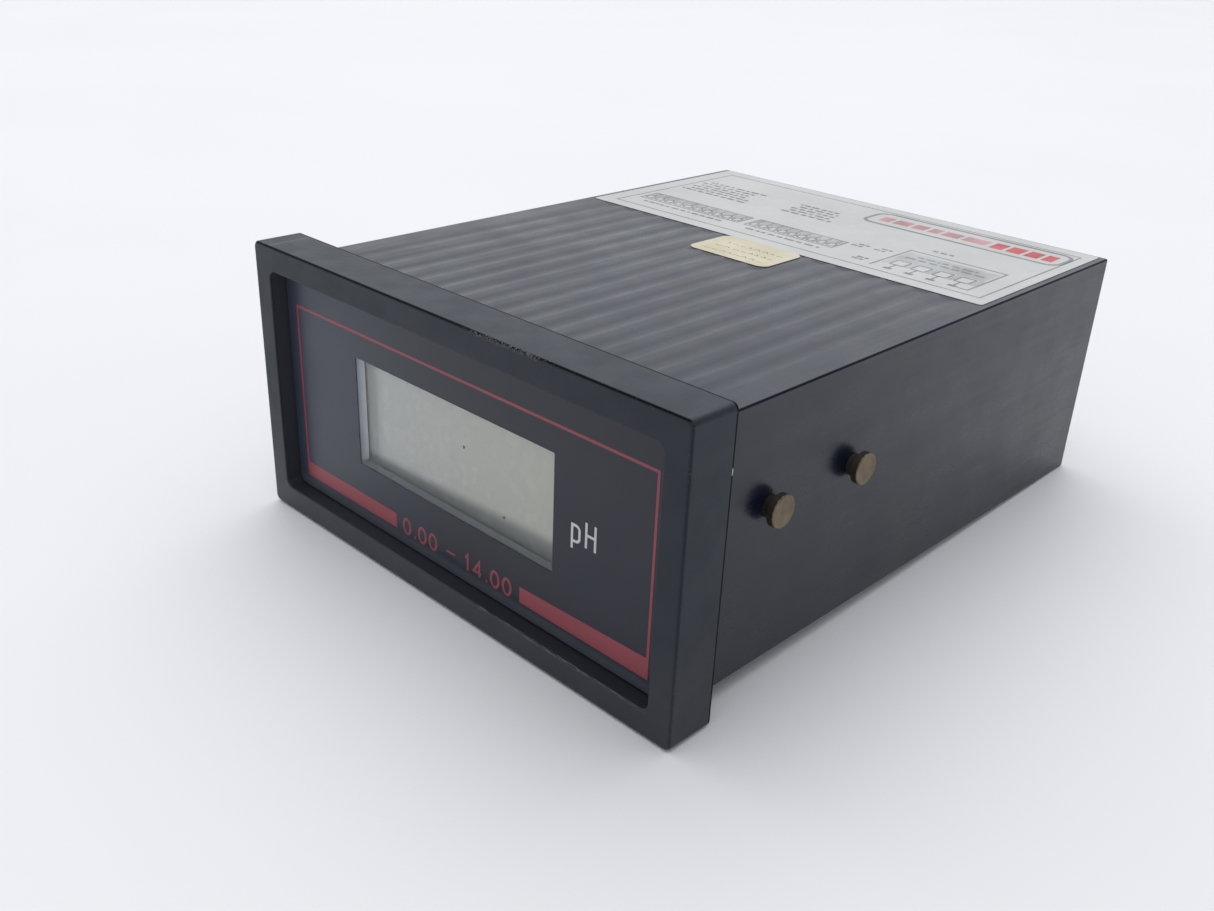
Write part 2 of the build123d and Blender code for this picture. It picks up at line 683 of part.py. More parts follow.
with BuildPart() as amplifier_chips:
    for place in AMPLIFIER_PLACES:
        chip(place, 9.8, 7.6, 8)
save(amplifier_chips, "amplifier_chips")

# Film capacitors of the converter
FILM_X = (-33.0, -27.0, -21.0)
FILM_Y = 38.0
FILM_W = 3.6
FILM_D = 7.2
FILM_H = 7.0
with BuildPart() as film_capacitors:
    for x in FILM_X:
        low = (x - FILM_W / 2, FILM_Y, BOARD_TOP)
        block(low, (x + FILM_W / 2, FILM_Y + FILM_D, BOARD_TOP + FILM_H))
    fillet(film_capacitors.faces().group_by(Axis.Z)[-1].edges(), 0.4)
save(film_capacitors, "film_capacitors")

# Axial resistors, lying on the board between their bent leads
RESISTOR_COUNT = 6
RESISTOR_X = 16.0
RESISTOR_PITCH = 4.0
RESISTOR_Y = 38.0
RESISTOR_L = 6.5
RESISTOR_R = 1.2
RESISTOR_Z = BOARD_TOP + 1.4
RESISTOR_LEAD = 0.6
RESISTOR_LEAD_OUT = 1.4
with BuildPart() as resistors:
    half = RESISTOR_LEAD / 2
    near, far = RESISTOR_Y - RESISTOR_LEAD_OUT, RESISTOR_Y + RESISTOR_L + RESISTOR_LEAD_OUT
    for i in range(RESISTOR_COUNT):
        x = RESISTOR_X + i * RESISTOR_PITCH
        with BuildSketch(at_y(RESISTOR_Y)):
            with Locations((x, RESISTOR_Z)):
                Circle(RESISTOR_R)
        extrude(amount=-RESISTOR_L)
        block((x - half, near, RESISTOR_Z - half), (x + half, far, RESISTOR_Z + half))
        for y in (near, far - RESISTOR_LEAD):
            block((x - half, y, BOARD_TOP), (x + half, y + RESISTOR_LEAD, RESISTOR_Z + half))
save(resistors, "resistors")

# ---------------------------------------------------------------- terminals

strips = (
    ("signal", SIGNAL_POLES, SIGNAL_X),
    ("supply", SUPPLY_POLES, SUPPLY_X),
)
cavity_z = BOARD_TOP + HEADER_H / 2
for strip, poles, middle in strips:
    places = pole_places(poles, middle)

    # Header: a shroud on the board's rear edge, open to the rear
    header_w = poles * POLE + HEADER_EXTRA
    cavity_w = header_w - 2 * HEADER_WALL
    cavity_h = HEADER_H - 2 * HEADER_WALL
    cavity_start = HEADER_END - CAVITY_DEPTH
    centre = (middle, cavity_z)
    with BuildPart() as header:
        slab(header_w, HEADER_H, HEADER_START, HEADER_END, centre=centre)
        slab(cavity_w, cavity_h, cavity_start, HEADER_END, centre=centre, mode=Mode.SUBTRACT)
        with BuildSketch(at_y(HEADER_START)):
            with Locations(*[(x, PIN_Z) for x in places]):
                Rectangle(PIN, PIN)
        extrude(amount=HEADER_START - HEADER_END, mode=Mode.SUBTRACT)
    save(header, f"{strip}_header")

    # Pins: through the header and down through the board
    half = PIN / 2
    with BuildPart() as pins:
        for x in places:
            block((x - half, PIN_TAIL_Y - half, PIN_Z - half), (x + half, PIN_END, PIN_Z + half))
            block((x - half, PIN_TAIL_Y - half, TAIL_END), (x + half, PIN_TAIL_Y + half, PIN_Z))
    save(pins, f"{strip}_pins")

    # Plug: a tongue that enters the header, and a body with a screw clamp for each pole
    head_seat = SCREW_TOP - CLAMP_HEAD_T
    cage_x = CAGE_W / 2 + SLIP
    cage_y = CAGE_D / 2 + SLIP
    with BuildPart() as plug:
        slab(poles * POLE, cavity_h - 2 * SLIP, PLUG_START, PLUG_BODY_START, centre=centre)
        block(
            (middle - poles * POLE / 2 - PLUG_CHEEK, PLUG_BODY_START, PLUG_LOW),
            (middle + poles * POLE / 2 + PLUG_CHEEK, PLUG_END, PLUG_HIGH),
        )
        chamfer(plug.faces().sort_by(Axis.Y)[-1].edges(), PLUG_EDGE)
        for x in places:
            block(
                (x - half - SLIP, PLUG_START, PIN_Z - half - SLIP),
                (x + half + SLIP, PIN_BORE_END, CONTACT_LOW),
                mode=Mode.SUBTRACT,
            )
            block(
                (x - CONTACT_W / 2, CONTACT_START, CONTACT_LOW),
                (x + CONTACT_W / 2, SCREW_Y, CONTACT_TOP),
                mode=Mode.SUBTRACT,
            )
            block(
                (x - cage_x, SCREW_Y - cage_y, CAGE_LOW - SLIP),
                (x + cage_x, SCREW_Y + cage_y, CAGE_TOP + CAGE_RISE + SLIP),
                mode=Mode.SUBTRACT,
            )
            with BuildSketch(Plane.XY.offset(PLUG_HIGH)):
                with Locations((x, SCREW_Y)):
                    Circle(CLAMP_HEAD_R + RUNNING)
            extrude(amount=head_seat - RUNNING - PLUG_HIGH, mode=Mode.SUBTRACT)
            with BuildSketch(Plane.XY.offset(CAGE_TOP)):
                with Locations((x, SCREW_Y)):
                    Circle(CLAMP_SCREW_R + RUNNING)
            extrude(amount=head_seat - CAGE_TOP, mode=Mode.SUBTRACT)
            with BuildSketch(at_y(SCREW_Y)):
                with Locations((x, CONTACT_LOW - WIRE_R)):
                    Circle(WIRE_R)
            extrude(amount=SCREW_Y - PLUG_END, mode=Mode.SUBTRACT)
    save(plug, f"{strip}_plug")

    # Contacts: a strip on top of each pin, through to the clamp
    with BuildPart() as contacts:
        for x in places:
            block(
                (x - CONTACT_W / 2, CONTACT_START, CONTACT_LOW),
                (x + CONTACT_W / 2, CONTACT_END, CONTACT_TOP),
            )
    save(contacts, f"{strip}_contacts")

    for number, x in enumerate(places, start=1):
        # Clamp screw: a slotted head and a shank that ends above the contact
        with BuildPart() as clamp_screw:
            with BuildSketch(Plane.XY.offset(SCREW_TIP)):
                with Locations((x, SCREW_Y)):
                    Circle(CLAMP_SCREW_R)
            extrude(amount=SCREW_TOP - SCREW_TIP)
            with BuildSketch(Plane.XY.offset(SCREW_TOP - CLAMP_HEAD_T)):
                with Locations((x, SCREW_Y)):
                    Circle(CLAMP_HEAD_R)
            extrude(amount=CLAMP_HEAD_T)
            with BuildSketch(Plane.XY.offset(SCREW_TOP)):
                with Locations((x, SCREW_Y)):
                    Rectangle(2 * CLAMP_HEAD_R + 1, CLAMP_SLOT)
            extrude(amount=-CLAMP_SLOT_DEPTH, mode=Mode.SUBTRACT)
        save(clamp_screw, f"{strip}_screw_{number}")

        # Clamp cage: a square loop that the screw draws up against the contact
        with BuildPart() as clamp_cage:
            low = (x - CAGE_W / 2, SCREW_Y - CAGE_D / 2, CAGE_LOW)
            high = (x + CAGE_W / 2, SCREW_Y + CAGE_D / 2, CAGE_TOP)
            block(low, high)
            gap_low = (x - CAGE_W / 2 + CAGE_SIDE, SCREW_Y - CAGE_D / 2, CAGE_LOW + CAGE_BAR)
            gap_high = (x + CAGE_W / 2 - CAGE_SIDE, SCREW_Y + CAGE_D / 2, CAGE_TOP - CAGE_BAR)
            block(gap_low, gap_high, mode=Mode.SUBTRACT)
            with BuildSketch(Plane.XY.offset(CAGE_TOP - CAGE_BAR)):
                with Locations((x, SCREW_Y)):
                    Circle(CLAMP_SCREW_R + RUNNING)
            extrude(amount=CAGE_BAR, mode=Mode.SUBTRACT)
        save(clamp_cage, f"{strip}_cage_{number}")
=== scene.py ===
"""The looks of the panel-mount pH meter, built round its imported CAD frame, in metres."""

import json
import math
import random

import bmesh
import bpy
from mathutils import Matrix, Vector


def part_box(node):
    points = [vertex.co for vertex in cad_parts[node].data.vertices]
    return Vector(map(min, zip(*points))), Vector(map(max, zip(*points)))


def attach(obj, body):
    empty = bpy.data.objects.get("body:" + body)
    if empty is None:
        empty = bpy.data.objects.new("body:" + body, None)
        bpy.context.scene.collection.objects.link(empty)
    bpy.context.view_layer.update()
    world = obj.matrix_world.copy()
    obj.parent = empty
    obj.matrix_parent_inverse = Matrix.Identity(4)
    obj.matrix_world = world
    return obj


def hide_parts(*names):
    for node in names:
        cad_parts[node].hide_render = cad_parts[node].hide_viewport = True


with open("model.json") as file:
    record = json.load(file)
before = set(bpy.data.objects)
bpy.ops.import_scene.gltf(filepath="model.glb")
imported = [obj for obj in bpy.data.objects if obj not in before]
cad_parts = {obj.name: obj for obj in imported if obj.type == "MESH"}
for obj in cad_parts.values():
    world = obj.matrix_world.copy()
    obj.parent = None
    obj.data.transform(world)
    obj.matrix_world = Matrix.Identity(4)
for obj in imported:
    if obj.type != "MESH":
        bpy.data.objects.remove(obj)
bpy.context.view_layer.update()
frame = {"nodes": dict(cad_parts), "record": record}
random.seed(48)

MM = 0.001
NODES = frame["nodes"]
BODIES = frame["record"]["behaviour"]["bodies"]
BODY_OF = {node: body for body, members in BODIES.items() for node in members}


def box_mm(node):
    """A CAD node's lowest and highest corners in millimetres."""
    low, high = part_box(node)
    return low / MM, high / MM


# ---- camera

# Angles in radians, lengths in millimetres
AZIMUTH = 0.7613
ELEVATION = 0.4477
DISTANCE = 223.4
ROLL = 0.0434
TARGET = (-11.74, 40.0, -17.4)
FOCAL_SHARE = 1193.4 / 1214  # focal length as a share of the frame's width

back = Vector((
    math.sin(AZIMUTH) * math.cos(ELEVATION),
    -math.cos(AZIMUTH) * math.cos(ELEVATION),
    math.sin(ELEVATION),
))
right = Vector((math.cos(AZIMUTH), math.sin(AZIMUTH), 0))
up = back.cross(right)
rolled_right = math.cos(ROLL) * right + math.sin(ROLL) * up
rolled_up = -math.sin(ROLL) * right + math.cos(ROLL) * up
camera_data = bpy.data.cameras.new("camera")
camera_data.sensor_width = 36.0
camera_data.lens = camera_data.sensor_width * FOCAL_SHARE
camera_data.clip_start = 0.01
camera_data.clip_end = 60.0
camera = bpy.data.objects.new("camera", camera_data)
bpy.context.scene.collection.objects.link(camera)
axes = Matrix((rolled_right, rolled_up, back)).transposed().to_4x4()
camera.matrix_world = Matrix.Translation((Vector(TARGET) + back * DISTANCE) * MM) @ axes
bpy.context.scene.camera = camera
bpy.context.scene.view_settings.view_transform = "Standard"

# ---- materials

RANGE_SOCKETS = ("From Min", "From Max", "To Min", "To Max")


class Paint:
    """A Principled material built by small node calls, in the piece's own metres."""

    def __init__(self, name, colour, rough, metallic=0.0, **sockets):
        self.material = bpy.data.materials.new(name)
        self.material.use_nodes = True
        self.tree = self.material.node_tree
        self.shader = self.tree.nodes["Principled BSDF"]
        self.output = self.tree.nodes["Material Output"]
        self.place = self.add("ShaderNodeTexCoord").outputs["Object"]
        self.set("Base Color", colour)
        self.set("Roughness", rough)
        self.set("Metallic", metallic)
        for socket, value in sockets.items():
            self.set(socket.replace("_", " "), value)

    def add(self, kind):
        return self.tree.nodes.new(kind)

    def put(self, socket, value):
        """Link a socket to a value that is itself a socket, or set it."""
        if isinstance(value, bpy.types.NodeSocket):
            self.tree.links.new(value, socket)
        elif isinstance(value, tuple) and len(value) == 3 and len(socket.default_value) == 4:
            socket.default_value = (*value, 1.0)
        else:
            socket.default_value = value

    def set(self, name, value):
        self.put(self.shader.inputs[name], value)

    def math(self, operation, a, b=0.5):
        node = self.add("ShaderNodeMath")
        node.operation = operation
        self.put(node.inputs[0], a)
        self.put(node.inputs[1], b)
        return node.outputs[0]

    def both(self, mask, *others):
        """A mask that holds where all of these do."""
        for other in others:
            mask = self.math("MULTIPLY", mask, other)
        return mask

    def either(self, mask, other):
        return self.math("MAXIMUM", mask, other)

    def axis(self, letter):
        """One coordinate of the point being shaded, in millimetres."""
        node = self.add("ShaderNodeSeparateXYZ")
        self.put(node.inputs[0], self.place)
        return self.math("MULTIPLY", node.outputs[letter], 1 / MM)

    def reach(self, letter, middle=0.0):
        """The distance from a plane across one axis, in millimetres."""
        place = self.axis(letter)
        if middle:
            place = self.math("SUBTRACT", place, middle)
        return self.math("ABSOLUTE", place)

    def noise(self, size_mm, detail=3.0, rough=0.55, stretch=(1, 1, 1), shift=(0, 0, 0)):
        """Cloudy variation from 0 to 1, with features about this many millimetres across."""
        mapping = self.add("ShaderNodeMapping")
        self.put(mapping.inputs["Vector"], self.place)
        mapping.inputs["Location"].default_value = shift
        mapping.inputs["Scale"].default_value = stretch
        node = self.add("ShaderNodeTexNoise")
        self.put(node.inputs["Vector"], mapping.outputs[0])
        node.inputs["Scale"].default_value = 1 / (size_mm * MM)
        node.inputs["Detail"].default_value = detail
        node.inputs["Roughness"].default_value = rough
        return node.outputs["Fac"]

    def bands(self, letter, pitch_mm, distortion=0.0):
        """Stripes from 0 to 1 that repeat along one axis."""
        node = self.add("ShaderNodeTexWave")
        node.bands_direction = letter
        self.put(node.inputs["Vector"], self.place)
        node.inputs["Scale"].default_value = 1 / (20 * pitch_mm * MM)
        node.inputs["Distortion"].default_value = distortion
        return node.outputs["Fac"]

    def span(self, value, low, high, start=0.0, end=1.0):
        """Map a value from one range to another, smoothly, with its ends held."""
        node = self.add("ShaderNodeMapRange")
        node.interpolation_type = "SMOOTHSTEP"
        self.put(node.inputs["Value"], value)
        for socket, place in zip(RANGE_SOCKETS, (low, high, start, end)):
            node.inputs[socket].default_value = place
        return node.outputs[0]

    def along(self, letter, low, high, start=0.0, end=1.0):
        """A smooth change between two places on one axis."""
        return self.span(self.axis(letter), low, high, start, end)

    def patches(self, size_mm, detail=3.0, start=0.0, end=1.0, rough=0.55, shift=(0, 0, 0), low=0.3, high=0.7):
        """Noise spread out until it runs from start to end."""
        return self.span(self.noise(size_mm, detail, rough, shift=shift), low, high, start, end)

    def mix(self, share, a, b):
        node = self.add("ShaderNodeMix")
        node.data_type = "RGBA"
        self.put(node.inputs[0], share)
        self.put(node.inputs[6], a)
        self.put(node.inputs[7], b)
        return node.outputs[2]

    def colour(self, share, a, b):
        self.set("Base Color", self.mix(share, a, b))

    def sheen(self, size_mm, detail, start, end, **how):
        """Roughness that varies in patches."""
        self.set("Roughness", self.patches(size_mm, detail, start, end, **how))

    def bump(self, *layers):
        """Stack bumps, each a (height, depth in millimetres) pair."""
        last = None
        for height, depth in layers:
            node = self.add("ShaderNodeBump")
            node.inputs["Strength"].default_value = 1.0
            node.inputs["Distance"].default_value = depth * MM
            self.put(node.inputs["Height"], height)
            if last:
                self.put(node.inputs["Normal"], last)
            last = node.outputs[0]
        self.set("Normal", last)


def grey(level):
    return (level, level, level)


def scaled(colour, factor):
    return tuple(c * factor for c in colour)


def moulded(name, colour, rough):
    """Moulded plastic: a fine grain, and cloudy changes of tone and sheen."""
    paint = Paint(name, colour, rough)
    paint.colour(paint.patches(9.0, 4.0), scaled(colour, 0.75), scaled(colour, 1.25))
    paint.sheen(4.0, 3.0, rough - 0.06, rough + 0.06, shift=(3, 1, 2))
    paint.bump((paint.noise(0.25, 2.0), 0.012), (paint.noise(2.5, 2.0), 0.006))
    return paint


def metal(name, colour, rough):
    """Plated or bare metal with fine marks, and tarnish in patches."""
    paint = Paint(name, colour, rough, 1.0)
    paint.colour(paint.patches(1.4, 4.0, low=0.35), colour, scaled(colour, 0.72))
    paint.sheen(0.5, 3.0, rough - 0.08, rough + 0.1, shift=(1, 4, 2), low=0.25, high=0.75)
    paint.bump((paint.noise(0.12, 2.0), 0.004))
    return paint


def case_plastic():
    """Near-black plastic, faintly streaked along its length, smudged in patches, its long top edges darkened by painted
    shade.
    """
    paint = Paint("case_plastic", grey(0.008), 0.34)
    tone = paint.mix(paint.patches(14.0, 5.0, rough=0.6), (0.0026, 0.0042, 0.0125), (0.0058, 0.0066, 0.0175))
    smudge = paint.patches(17.0, 5.0, rough=0.65, shift=(5, 2, 7), low=0.48)
    paint.colour(smudge, tone, (0.0085, 0.0098, 0.0135))
    # Painted shade: a thin dark line along the long top edges, where the reflection is cut
    arris = paint.both(paint.span(paint.reach("X"), 44.7, 44.78), paint.along("Z", 20.68, 20.76))
    paint.set("Specular IOR Level", paint.span(arris, 0.0, 1.0, 0.5, 0.08))
    paint.set("Specular Tint", (0.87, 0.95, 1.0))
    sheen = paint.span(paint.noise(1.2, 4.0, 0.6, stretch=(1, 0.05, 1)), 0.25, 0.75, 0.26, 0.33)
    paint.set("Roughness", paint.math("ADD", sheen, paint.patches(9.0, 5.0, -0.03, 0.05, rough=0.6)))
    on_top = paint.along("Z", 20.0, 20.7)
    paint.bump(
        (paint.noise(0.25, 2.0), 0.005),
        (paint.both(paint.noise(1.6, 3.0, stretch=(1, 0.06, 1)), on_top), 0.006),
        (paint.both(paint.noise(3.4, 3.0, shift=(2, 6, 1)), on_top), 0.022),
        (paint.noise(9.0, 2.0), 0.010),
    )
    return paint


def bezel_plastic():
    """Near-black plastic, nicked along its front edges and rubbed on the opening's lower lip, with painted light
    towards its foot, its left and in the left recess, and painted shade along its edges.
    """
    paint = Paint("bezel_plastic", grey(0.008), 0.34)
    edges = paint.either(paint.span(paint.reach("X"), 47.2, 47.95), paint.span(paint.reach("Z"), 23.2, 23.95))
    edge_rub = paint.both(paint.along("Y", -7.95, -8.4), edges)
    scuff = paint.both(paint.span(paint.reach("X", 15.0), 5.0, 11.0, 1.0, 0.0), paint.along("Z", 22.0, 23.5))
    nick_limit = paint.math("SUBTRACT", 0.66, paint.math("MULTIPLY", scuff, 0.14))
    nick = paint.math("GREATER_THAN", paint.noise(0.30, 4.0, 0.7), nick_limit)
    lip = paint.both(
        paint.along("Z", -19.5, -19.75), paint.along("Z", -20.25, -20.0), paint.along("Y", -8.1, -8.3),
        paint.span(paint.reach("X", 24.0), 12.0, 22.0, 1.0, 0.0),
    )
    lip_line = paint.span(paint.noise(0.13, 4.0, 0.7, stretch=(0.06, 1, 1)), 0.50, 0.60)
    wear = paint.either(paint.both(edge_rub, nick), paint.both(lip, lip_line))

    tone = paint.mix(paint.patches(12.0, 4.0), (0.0010, 0.0042, 0.0120), (0.0026, 0.0064, 0.0155))
    # Painted light: the face is paler towards its foot and towards its left
    foot_painted_light = paint.mix(paint.along("X", 30.0, -40.0), (0.0205, 0.0225, 0.0295), (0.033, 0.036, 0.045))
    tone = paint.mix(paint.along("Z", -3.0, -21.0, 0.0, 0.8), tone, foot_painted_light)
    # Painted light on the left wall of the opening's recess
    left_recess_painted_light = paint.both(paint.span(paint.reach("X", -43.75), 0.5, 0.3), paint.along("Y", -8.3, -8.1))
    tone = paint.mix(left_recess_painted_light, tone, (0.034, 0.038, 0.047))

    # Painted shade: dark lines along the front edges and along the rear top edge next to the case, with their
    # reflection cut too
    upright_arris = paint.span(paint.reach("X"), 47.68, 47.80, 0.0, 0.35)
    front_arris = paint.both(
        paint.along("Y", -8.14, -8.24), paint.either(paint.along("Z", 23.68, 23.80), upright_arris)
    )
    outer_band = paint.either(paint.along("Z", 23.5, 23.7), paint.span(paint.reach("X"), 47.5, 47.7))
    arris_painted_shade = paint.either(front_arris, paint.both(paint.along("Y", -0.55, -0.45), outer_band))
    tone = paint.mix(arris_painted_shade, tone, (0.0020, 0.0022, 0.0030))
    paint.colour(wear, tone, grey(0.13))
    paint.set("Specular IOR Level", paint.span(arris_painted_shade, 0.0, 1.0, 0.47, 0.06))
    paint.set("Specular Tint", (0.92, 0.97, 1.0))
    paint.sheen(5.0, 4.0, 0.42, 0.50)
    paint.bump((paint.noise(0.22, 2.0), 0.006), (paint.noise(6.0, 2.0), 0.006))
    return paint


def print_paint(name, colour):
    """A satin film or ink."""
    paint = Paint(name, colour, 0.33)
    paint.colour(paint.patches(16.0, 3.0), scaled(colour, 0.92), scaled(colour, 1.08))
    paint.sheen(8.0, 2.0, 0.31, 0.35)
    paint.bump((paint.noise(0.18, 1.0), 0.002))
    return paint


def overlay_film():
    """Near-black blue film, with painted light making it paler to the left and along its foot."""
    paint = print_paint("overlay_film", (0.006, 0.008, 0.014))
    # Painted light: paler towards the left, and paler again along the foot
    tone = paint.mix(paint.along("X", 5.0, -44.0), (0.0045, 0.0085, 0.020), (0.036, 0.044, 0.068))
    paint.colour(paint.along("Z", -17.0, -18.4), tone, (0.060, 0.066, 0.082))
    return paint


def window_wall():
    """The cut edge round the window, made pale by painted light, with painted shade at its front and along its foot."""
    paint = Paint("window_wall", (0.50, 0.54, 0.57), 0.35)
    # Painted light and shade: paler towards the rear, darker along the foot
    tone = paint.mix(paint.along("Y", -5.4, -4.0), (0.42, 0.48, 0.54), (0.74, 0.77, 0.79))
    paint.colour(paint.along("Z", -8.4, -9.0), tone, (0.20, 0.22, 0.23))
    return paint


def tarnished_brass():
    paint = Paint("brass_tarnished", (0.20, 0.155, 0.10), 0.42, 0.8)
    patches = paint.patches(1.6, 4.0, rough=0.65, low=0.25, high=0.75)
    paint.colour(patches, (0.138, 0.106, 0.070), (0.208, 0.162, 0.106))
    paint.sheen(0.6, 3.0, 0.38, 0.5)
    paint.bump((paint.noise(0.15, 2.0), 0.004))
    return paint


def label_foil():
    """Pale silver foil, a little cockled."""
    paint = Paint("label_foil", (0.60, 0.61, 0.60), 0.42, 0.15)
    paint.colour(paint.patches(18.0, 4.0), (0.525, 0.525, 0.51), (0.58, 0.58, 0.565))
    paint.sheen(3.0, 3.0, 0.38, 0.48)
    paint.bump((paint.noise(0.5, 2.0), 0.003), (paint.noise(12.0, 2.0), 0.02))
    return paint


def display_reflector():
    """The blank display: grey, with a cooler strip of painted shade on its left and painted shade along its foot."""
    paint = Paint("lcd_reflector", (0.7, 0.7, 0.68), 0.45, 0.3)
    tone = paint.mix(paint.along("X", -22.0, 22.0), (0.79, 0.76, 0.715), (0.79, 0.76, 0.655))
    # Painted shade: a cooler strip down the left edge
    tone = paint.mix(paint.along("X", -19.6, -22.6, 0.0, 0.2), tone, (0.36, 0.40, 0.43))
    # Painted shade along the foot, taller towards the right
    foot_level = paint.along("X", -24.0, 22.0, -6.9, -5.4)
    foot_depth = paint.math("SUBTRACT", foot_level, paint.axis("Z"))
    paint.colour(paint.span(foot_depth, -0.6, 1.6, 0.0, 0.72), tone, (0.14, 0.155, 0.16))
    paint.sheen(6.0, 3.0, 0.43, 0.47)
    return paint


def clear_paint(name, colour, rough, mirror):
    """Clear sheet: mostly see-through, with a gloss that grows from its head-on share at a slant."""
    paint = Paint(name, colour, rough)
    clear = paint.add("ShaderNodeBsdfTransparent")
    clear.inputs["Color"].default_value = (*colour, 1)
    gloss = paint.add("ShaderNodeBsdfGlossy")
    paint.put(gloss.inputs["Roughness"], paint.patches(3.0, 3.0, rough * 0.8, rough * 1.2))
    slant = paint.add("ShaderNodeLayerWeight")
    slant.inputs["Blend"].default_value = 0.5
    rise = paint.math("POWER", slant.outputs["Facing"], 5.0)
    share = paint.math("ADD", paint.math("MULTIPLY", rise, 0.9), mirror)
    blend = paint.add("ShaderNodeMixShader")
    paint.put(blend.inputs[0], share)
    paint.put(blend.inputs[1], clear.outputs[0])
    paint.put(blend.inputs[2], gloss.outputs[0])
    paint.put(paint.output.inputs["Surface"], blend.outputs[0])
    return paint


def solder_mask():
    """Green board with tracks showing through its mask."""
    paint = Paint("board_green", (0.03, 0.16, 0.07), 0.32, Coat_Weight=0.4, Coat_Roughness=0.2)
    track = paint.math("ABSOLUTE", paint.math("SUBTRACT", paint.noise(3.2, 0.0, stretch=(1, 0.35, 1)), 0.5))
    track_line = paint.span(track, 0.035, 0.05, 1.0, 0.0)
    paint.colour(track_line, (0.018, 0.105, 0.045), (0.035, 0.17, 0.07))
    paint.bump((track_line, 0.02), (paint.noise(0.3, 2.0), 0.003))
    return paint


def core_steel():
    """Stacked transformer sheets, rusty in places."""
    paint = Paint("core_steel", (0.22, 0.22, 0.23), 0.45, 0.85)
    sheets = paint.span(paint.bands("Y", 0.5, 0.4), 0.1, 0.5)
    tone = paint.mix(sheets, (0.10, 0.10, 0.105), (0.26, 0.26, 0.265))
    paint.colour(paint.patches(3.0, 5.0, rough=0.7, low=0.55, high=0.75), tone, (0.16, 0.09, 0.05))
    paint.bump((sheets, 0.05))
    return paint


def coil_tape():
    """Yellow tape over the coil's turns."""
    paint = Paint("coil_tape", (0.60, 0.43, 0.09), 0.3, Coat_Weight=0.5, Coat_Roughness=0.15)
    turns = paint.span(paint.bands("Z", 0.35, 0.6), 0.0, 1.0)
    paint.colour(turns, (0.50, 0.33, 0.06), (0.66, 0.48, 0.11))
    paint.bump((turns, 0.03), (paint.noise(2.0), 0.05))
    return paint


case_paint = case_plastic()
bezel_paint = bezel_plastic()
overlay_paint = overlay_film()
red_paint = print_paint("overlay_red", (0.29, 0.045, 0.062))
white_paint = print_paint("overlay_white", (0.60, 0.60, 0.62))
plate_paint = moulded("plate_plastic", (0.007, 0.007, 0.008), 0.5)
window_wall_paint = window_wall()
black_paint = moulded("black_moulding", (0.012, 0.012, 0.013), 0.45)
green_paint = moulded("plug_green", (0.035, 0.20, 0.085), 0.42)
blue_paint = moulded("trimmer_blue", (0.02, 0.09, 0.36), 0.38)
brass_paint = tarnished_brass()
# Dark brass for the studs' sides and necks: oxide, with painted shade on the necks
brass_dark_paint = moulded("brass_oxide_and_shade", (0.032, 0.025, 0.018), 0.5)
screw_brass_paint = metal("brass_clean", (0.62, 0.46, 0.20), 0.3)
zinc_paint = metal("zinc_plate", (0.58, 0.58, 0.56), 0.33)
nickel_paint = metal("nickel_plate", (0.62, 0.60, 0.56), 0.28)
tin_paint = metal("tinned", (0.66, 0.66, 0.66), 0.35)
sink_paint = metal("black_anodised", (0.045, 0.045, 0.05), 0.4)
label_paint = label_foil()
label_ink_paint = moulded("label_ink", (0.22, 0.225, 0.23), 0.5)
label_pale_paint = moulded("label_pale_ink", (0.40, 0.41, 0.41), 0.5)
label_red_paint = moulded("label_red_ink", (0.50, 0.055, 0.06), 0.5)
label_pink_paint = moulded("label_faded_red_ink", (0.52, 0.25, 0.26), 0.5)
seal_paint = Paint("seal_paper", (0.76, 0.70, 0.52), 0.62)
seal_paint.colour(seal_paint.patches(5.0, 4.0), (0.60, 0.55, 0.39), (0.69, 0.645, 0.49))
seal_paint.bump((seal_paint.noise(0.3), 0.008), (seal_paint.noise(4.0, 2.0), 0.03))
seal_ink_paint = moulded("seal_ink", (0.34, 0.30, 0.21), 0.6)
lcd_paint = display_reflector()
glass_paint = clear_paint("lcd_glass", (0.97, 0.98, 0.975), 0.08, 0.015)
film_paint = clear_paint("window_film", (0.97, 0.975, 0.98), 0.30, 0.03)
fuse_glass_paint = clear_paint("fuse_glass", (0.90, 0.94, 0.92), 0.05, 0.05)
board_paint = solder_mask()
core_paint = core_steel()
tape_paint = coil_tape()
bobbin_paint = moulded("bobbin_plastic", (0.05, 0.05, 0.055), 0.45)
sleeve_paint = moulded("capacitor_sleeve", (0.012, 0.022, 0.085), 0.3)
stripe_paint = moulded("capacitor_stripe", (0.50, 0.52, 0.56), 0.35)
can_paint = metal("capacitor_can", (0.66, 0.67, 0.68), 0.3)
film_case_paint = moulded("film_case", (0.42, 0.05, 0.035), 0.28)
lacquer_paint = moulded("resistor_lacquer", (0.50, 0.36, 0.20), 0.3)
band_paints = [
    moulded("band_" + name, colour, 0.3)
    for name, colour in (
        ("brown", (0.10, 0.035, 0.015)),
        ("red", (0.45, 0.02, 0.02)),
        ("orange", (0.65, 0.17, 0.02)),
        ("yellow", (0.70, 0.50, 0.03)),
        ("violet", (0.14, 0.04, 0.25)),
        ("black", (0.01, 0.01, 0.01)),
        ("gold", (0.50, 0.33, 0.08)),
    )
]
zebra_paint = Paint("contact_rubber", (0.55, 0.50, 0.46), 0.6)
zebra_paint.colour(zebra_paint.span(zebra_paint.bands("X", 0.25), 0.4, 0.6), grey(0.02), (0.62, 0.56, 0.52))

# ---- mesh helpers


